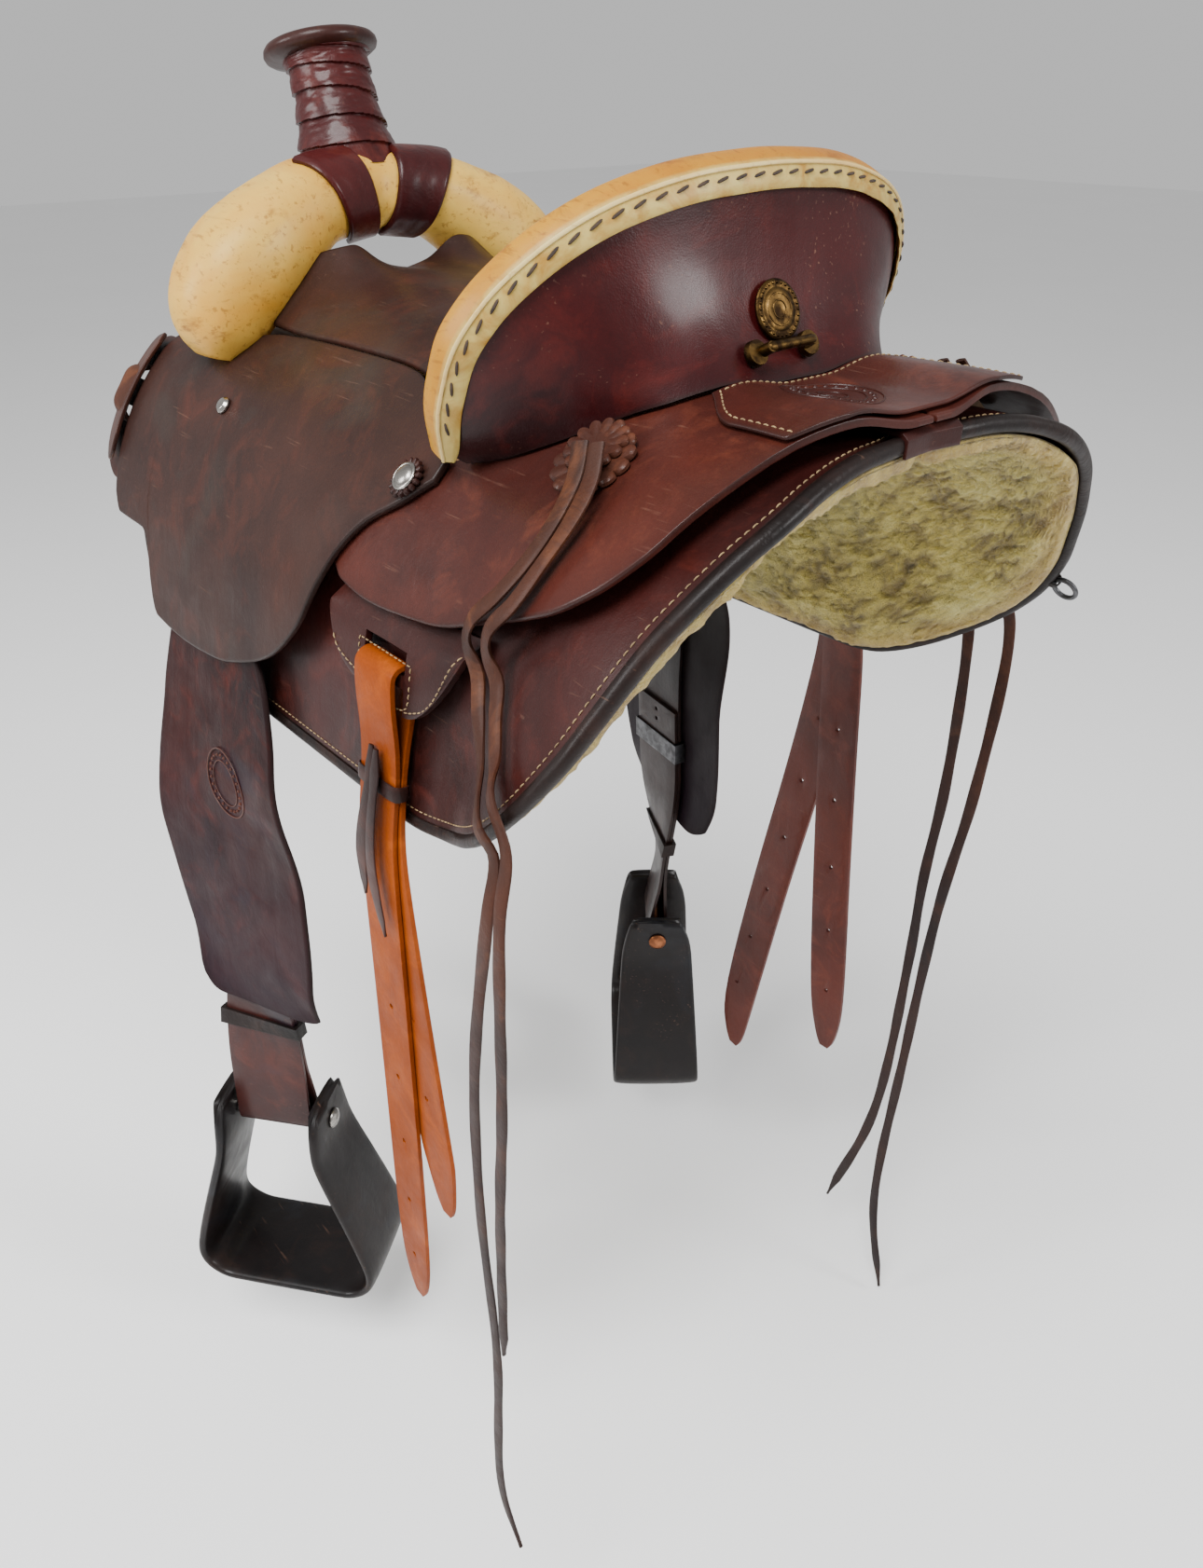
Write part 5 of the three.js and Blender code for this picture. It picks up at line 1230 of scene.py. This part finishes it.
def add_fenders():
    us = np.linspace(-1, 1, 60)
    us = np.sign(us) * (1 - (1 - np.abs(us)) ** 1.12)
    grid = np.array([[fender_point(a, v) for a in us] for v in bunched(130)])
    for tag, side in SIDES:
        flip = np.array([side, 1, 1])
        outer, inner = grid[:, :, 0] * flip, grid[:, :, 1] * flip
        pts, faces = slab_mesh(outer, inner)
        obj = make(f"fender_{tag}_leather", pts, faces, tag + "_fender", FENDER, "fender", ["fender_" + tag],
                   smooth_angle=60)
        mark_edges(obj, border(outer))
        mark_flesh(obj, outer, inner)

        def on_fender(x, z):
            d = STAMP_DOWN - z
            return hang_point(d, x + STAMP_ACROSS, 5.4 + FENDER_T) * flip, hang(d)[2] * flip

        add_stamp(f"fender_{tag}_stamp", tag + "_fender", on_fender, 30.0, ((1.0, 0.7), (0.66, 0.5)),
                  FENDER_STAMP, "fender")


def add_hanging_straps():
    for tag, side in SIDES:
        # The far (right) stirrup leather takes the darker copy, which is painted shade.
        refine("stirrup_leather_" + tag, tag + "_fender", STRAP if side > 0 else SHADED_FAR_STRAP,
               levels=2, bevel=0.9)
        refine("hobble_strap_" + tag, tag + "_fender", EDGE, levels=2, bevel=0.7)
        refine("buckle_sleeve_" + tag, tag + "_buckle", STEEL, levels=1, bevel=0.6)
        refine("stirrup_stud_" + tag, "tree", STEEL, levels=1, bevel=0.4)
        refine("stirrup_" + tag, tag + "_stirrup", STIRRUP, levels=2, sharp=80.0, bevel=0.0)
        refine("stirrup_bolt_" + tag, tag + "_stirrup", COPPER if side < 0 else SILVER, levels=1,
               bevel=0.3)


add_fenders()
add_hanging_straps()


# ---- billets, keepers, rosettes and metal trim ----
BILLET_DRIFT = -24.0      # y of the left billet's end, off straight down
KEEPER_DOWN = 78.0        # from the slot to the small keeper


def billet_line(q, off):
    """A point q down the left billet and off out from its middle, and the way its face looks."""
    p, n = SLOT_AT + SLOT_OUT * (10.0 - SLOT_H), 24
    full = math.pi / 2 - math.asin(-SLOT_DOWN[2])
    for i in range(n):
        a = full * float(smooth((q * (i + 0.5) / n - 84) / 70))
        p = p + SLOT_DOWN * (q / n * math.cos(a)) - SLOT_OUT * (q / n * math.sin(a))
    p = p + np.array([0, BILLET_DRIFT * max((q - 60) / 500, 0) ** 1.3, 0])
    a = full * float(smooth((q - 84) / 70))
    out = SLOT_OUT * math.cos(a) + SLOT_DOWN * math.sin(a)
    return p + out * off, out


def add_keeper():
    """A small band round both layers of the billet, with a lace through it that ends in two pointed tails."""
    rail, normals = [], []
    for c, d in circle(48):
        p, out = billet_line(KEEPER_DOWN, 6.1 * blunt(d, 0.5))
        rail.append(p + SLOT_ALONG * (24.6 * blunt(c, 0.35)))
        normals.append(unit(SLOT_ALONG * c * 0.6 + out * d))
    pts, faces = loft_mesh(tube(rail, normals, 5.6, 0.9, 3.0, 12), closed=True)
    make("billet_keeper_band", pts, faces, "left_billet", KEEPER, "thong", ["billet_keeper_left"])
    for i, (start, lean, end) in enumerate(((-4.0, -9.0, 172.0), (4.0, 8.0, 196.0))):
        q = np.linspace(52.0, end, 60)
        v = (q - q[0]) / (q[-1] - q[0])
        line = [billet_line(a, 8.1 + 1.2 * i + 2.2 * math.sin(3.0 * b)) for a, b in zip(q, v)]
        sway = start + lean * v * v + 1.4 * np.sin(7 * v)
        rail = np.array([p for p, _ in line]) + SLOT_ALONG * sway[:, None]
        wide = np.interp(v, [0, 0.12, 0.22, 0.7, 0.9, 1.0], [2.4, 5.4, 4.2, 6.6, 4.4, 0.5])
        pts, faces = loft_mesh(tube(rail, np.array([o for _, o in line]), wide, 1.1, 3.0, 12))
        make(f"billet_keeper_tail_{i + 1}", pts, faces, "left_billet", KEEPER, "thong")


def add_billets():
    refine("rear_billet_left", "left_billet", TAN, levels=2, bevel=0.8)
    refine("rear_billet_right", "right_billet", MAHOGANY, levels=2, bevel=0.8)
    add_keeper()


def flower(radius, petals, cup, tall):
    """A scalloped leather disc with each petal dished and a raised rim between them."""
    turn = circle(petals * 12)
    lobe = np.abs(np.cos(np.pi * np.arange(petals * 12) / 12))
    outer, inner = [], []
    for q in np.linspace(0, 1, 18):
        flat = turn * ((radius - 4.0 + 4.0 * lobe ** 0.6) * max(q, 0.02))[:, None]
        ridge = 1.1 * (lobe - 0.5) * smooth((q - 0.35) / 0.4)
        top = tall - cup * (1 - q) + ridge - round_over((1 - q) * radius, 1.2)
        outer.append(np.column_stack([flat, top]))
        inner.append(np.column_stack([flat, top - tall * (0.8 if q < 0.999 else 0.6)]))
    return loft_mesh(outer + inner[::-1])


def on_flank(pts, s, y, h, side, spin=0.0):
    """Places a flat shape on the flank's surface."""
    n = flank_normal(s, y)
    fore = np.array([0, 1.0, 0])
    across = np.cross(fore, n)
    c, d = math.cos(spin), math.sin(spin)
    q = np.array(pts)
    x, z = q[:, 0] * c - q[:, 1] * d, q[:, 0] * d + q[:, 1] * c
    out = flank(s, y, h) + x[:, None] * across + z[:, None] * fore + q[:, 2:3] * n
    return out * np.array([side, 1, 1])


def lathe(profile):
    return loft_mesh([[(r * x, r * y, z) for x, y in circle(48)] for r, z in profile])


def add_latigo_tab(tag, side):
    """A second, round-ended layer on the keeper, and the short strap that runs through both slots."""
    low = curve([(-345, 158), (-336, 150), (-316, 149), (-306, 158)])
    high = curve([(-345, 232), (-340, 246), (-326, 254), (-312, 246), (-306, 232)])
    base = lambda s, y: 16.8 + (y + 345.0) * 0.28
    leather(f"latigo_tab_{tag}", -345, -306, low, high, base, lambda s, y: base(s, y) + 3.6, "tree",
            THONG_WIDE, "thong", [], side, nu=40, nv=60, r=1.4)
    run = [(172, 9), (176, 18), (184, 27.2), (198, 28), (212, 27.2), (220, 18), (224, 9)]
    rail = resample(catmull([flank(s, -326, h) for s, h in run], 10), 2.0)
    t = unit(np.gradient(rail, axis=0))
    normals = unit(np.cross(np.array([0, 1.0, 0]), t))
    normals *= np.sign(np.sum(normals * flank_normal(198.0, -326.0), axis=1, keepdims=True) + 1e-9)
    pts, faces = loft_mesh(tube(rail, normals, 12.0, 1.4, 4.0, 16))
    make(f"latigo_strap_{tag}", pts * np.array([side, 1, 1]), faces, "tree", THONG, "thong")


CONCHO = [(9.6, 0), (9.6, 0.7), (9.2, 1.2), (8.4, 1.4), (8.0, 1.1), (7.6, 1.1), (7.0, 1.8), (5.4, 2.8),
          (3.2, 3.3), (1.0, 3.5), (0.2, 3.5)]     # radius and height of its domed section
ROSETTE_LAYERS = (                                # radius, petals, cup and height; place on the flank; spin
    ("rear_rosette", "leather", (26.0, 13, 1.6, 3.4), (139, 246, 21.2), 0.2, ROSETTE),
    ("rear_rosette", "top", (20.0, 13, 1.2, 3.0), (132, 243, 25.0), 0.1, ROSETTE),
    ("seat_rosette", "leather", (14.0, 16, 0.2, 2.2), (179, 107, 26.0), 0.0, KEEPER))


def add_rosettes():
    for tag, side in SIDES:
        for node, part, size, at, spin, mat in ROSETTE_LAYERS:
            pts, faces = flower(*size)
            make(f"{node}_{tag}_{part}", on_flank(pts, *at, side, spin), faces, "tree", mat, "thong",
                 [] if part == "top" else [f"{node}_{tag}"])
        pts, faces = lathe(CONCHO)
        make(f"seat_concho_{tag}_silver", on_flank(pts, 179, 107, 28.6, side), faces, "tree", SILVER,
             "silver", ["seat_concho_" + tag])
        refine("front_screw_" + tag, "tree", SILVER, levels=2, bevel=0.2)
        refine("latigo_keeper_" + tag, "tree", KEEPER, levels=2, bevel=1.0)
        add_latigo_tab(tag, side)


MEDALLION_U, MEDALLION_V, MEDALLION_OUT = 0.02, 0.68, 10.0      # place on the cantle's back, height


def add_cantle_metal():
    for node in ("footman_loop", "cantle_medallion"):
        refine(node, "tree", BRASS, levels=2, sharp=60, bevel=0.0)
    e = 0.02
    centre, right, left, high, low = (
        cantle_face(MEDALLION_U + du, MEDALLION_V + dv, MEDALLION_OUT)
        for du, dv in ((0, 0), (e, 0), (-e, 0), (0, -e), (0, e)))
    across = unit(right - left)
    n = facing(unit(np.cross(across, high - low)), (0, 1, 0))
    up = np.cross(n, across)
    add_stamp("medallion_dots", "tree", lambda x, z: (centre + across * x + up * z + n * 3.0, n), 18.0,
              ((0.5, 0.7), (0.28, 0.5)), BRASS, "brass", rays=28)
    refine("skirt_rear_wrap", "tree", SKIRT_PLAIN, levels=2, bevel=1.0)


def ring_loop(centre, u, v, radius, half_wide, half_thick, power):
    """A closed band round a circle in the plane of u and v."""
    turn = np.linspace(0, 2 * math.pi, 40, endpoint=False)
    out = np.cos(turn)[:, None] * u + np.sin(turn)[:, None] * v
    return loft_mesh(tube(centre + out * radius, out, half_wide, half_thick, power, 12), closed=True)


def add_edge_ring():
    """A small steel ring at the right skirt's rear corner, held by a loop of thong."""
    n, fore = flank_normal(318.0, 316.0), np.array([0, 1.0, 0])
    down = facing(np.cross(n, fore), (0, 0, -1))
    away = unit(down * 0.6 + fore * 0.8)
    flip = np.array([-1, 1, 1])
    centre = flank(318.0, 316.0, -2.0) + away * 4.5
    pts, faces = ring_loop(centre, away, unit(np.cross(n, away)), 9.0, 1.9, 1.9, 2.0)
    make("edge_ring_steel", pts * flip, faces, "tree", STEEL, "steel")
    pts, faces = ring_loop(centre - away * 10.5, away, n, 5.0, 2.6, 0.8, 3.0)
    make("edge_ring_loop", pts * flip, faces, "tree", EDGE, "edge")


def dress_hidden_nodes():
    """The CAD solids inside the saddle keep their shape and get wood or leather."""
    hidden = {"tree_bar_left": WOOD, "tree_bar_right": WOOD, "cantle_board": WOOD, "ground_seat": EDGE}
    for node, mat in hidden.items():
        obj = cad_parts[node]
        obj.data.materials.clear()
        obj.data.materials.append(mat)


add_billets()
add_rosettes()
add_cantle_metal()
add_edge_ring()
dress_hidden_nodes()


# ---- floor and light ----
FLOOR_GAP, FLOOR_SIZE = 0.012, 28.0
WORLD_LIGHT = 0.62
LIGHTS = {"key": ((1.7, 0.9, 2.6), (0, 0.05, 0.0), 1.9, 190),      # place, aim, size in metres, watts
          "side": ((2.4, -0.9, 0.9), (0, 0.0, -0.2), 1.2, 60),
          "back": ((-1.2, 2.6, 1.0), (0, 0.1, 0.0), 1.0, 60)}


def plain_material(name, color, rough):
    g = Graph(name)
    shade = g.mix(g.level(g.noise(1.5, 2.0), 0.3, 0.7), color, tuple(c * 0.985 for c in color))
    return g.finish(shade, rough)


def area_light(name, place, aim, size, power):
    data = bpy.data.lights.new(name, "AREA")
    data.shape, data.size, data.energy = "DISK", size, power
    obj = bpy.data.objects.new(name, data)
    bpy.context.scene.collection.objects.link(obj)
    obj.location = place
    obj.rotation_euler = (Vector(aim) - Vector(place)).to_track_quat("-Z", "Y").to_euler()


def add_stage():
    mesh = bpy.data.meshes.new("floor")
    z, half = cad_box[0][2] - FLOOR_GAP, FLOOR_SIZE / 2
    corners = [(-half, -half, z), (half, -half, z), (half, half, z), (-half, half, z)]
    mesh.from_pydata(corners, [], [(0, 1, 2, 3)])
    floor = bpy.data.objects.new("floor", mesh)
    bpy.context.scene.collection.objects.link(floor)
    mesh.materials.append(plain_material("floor_paint", (0.90, 0.90, 0.90), 0.9))
    world = bpy.data.worlds.new("studio")
    bpy.context.scene.world = world
    world.use_nodes = True
    world.node_tree.nodes["Background"].inputs["Color"].default_value = (1.0, 1.0, 1.0, 1)
    world.node_tree.nodes["Background"].inputs["Strength"].default_value = WORLD_LIGHT
    for name, spec in LIGHTS.items():
        area_light(name, *spec)


add_stage()
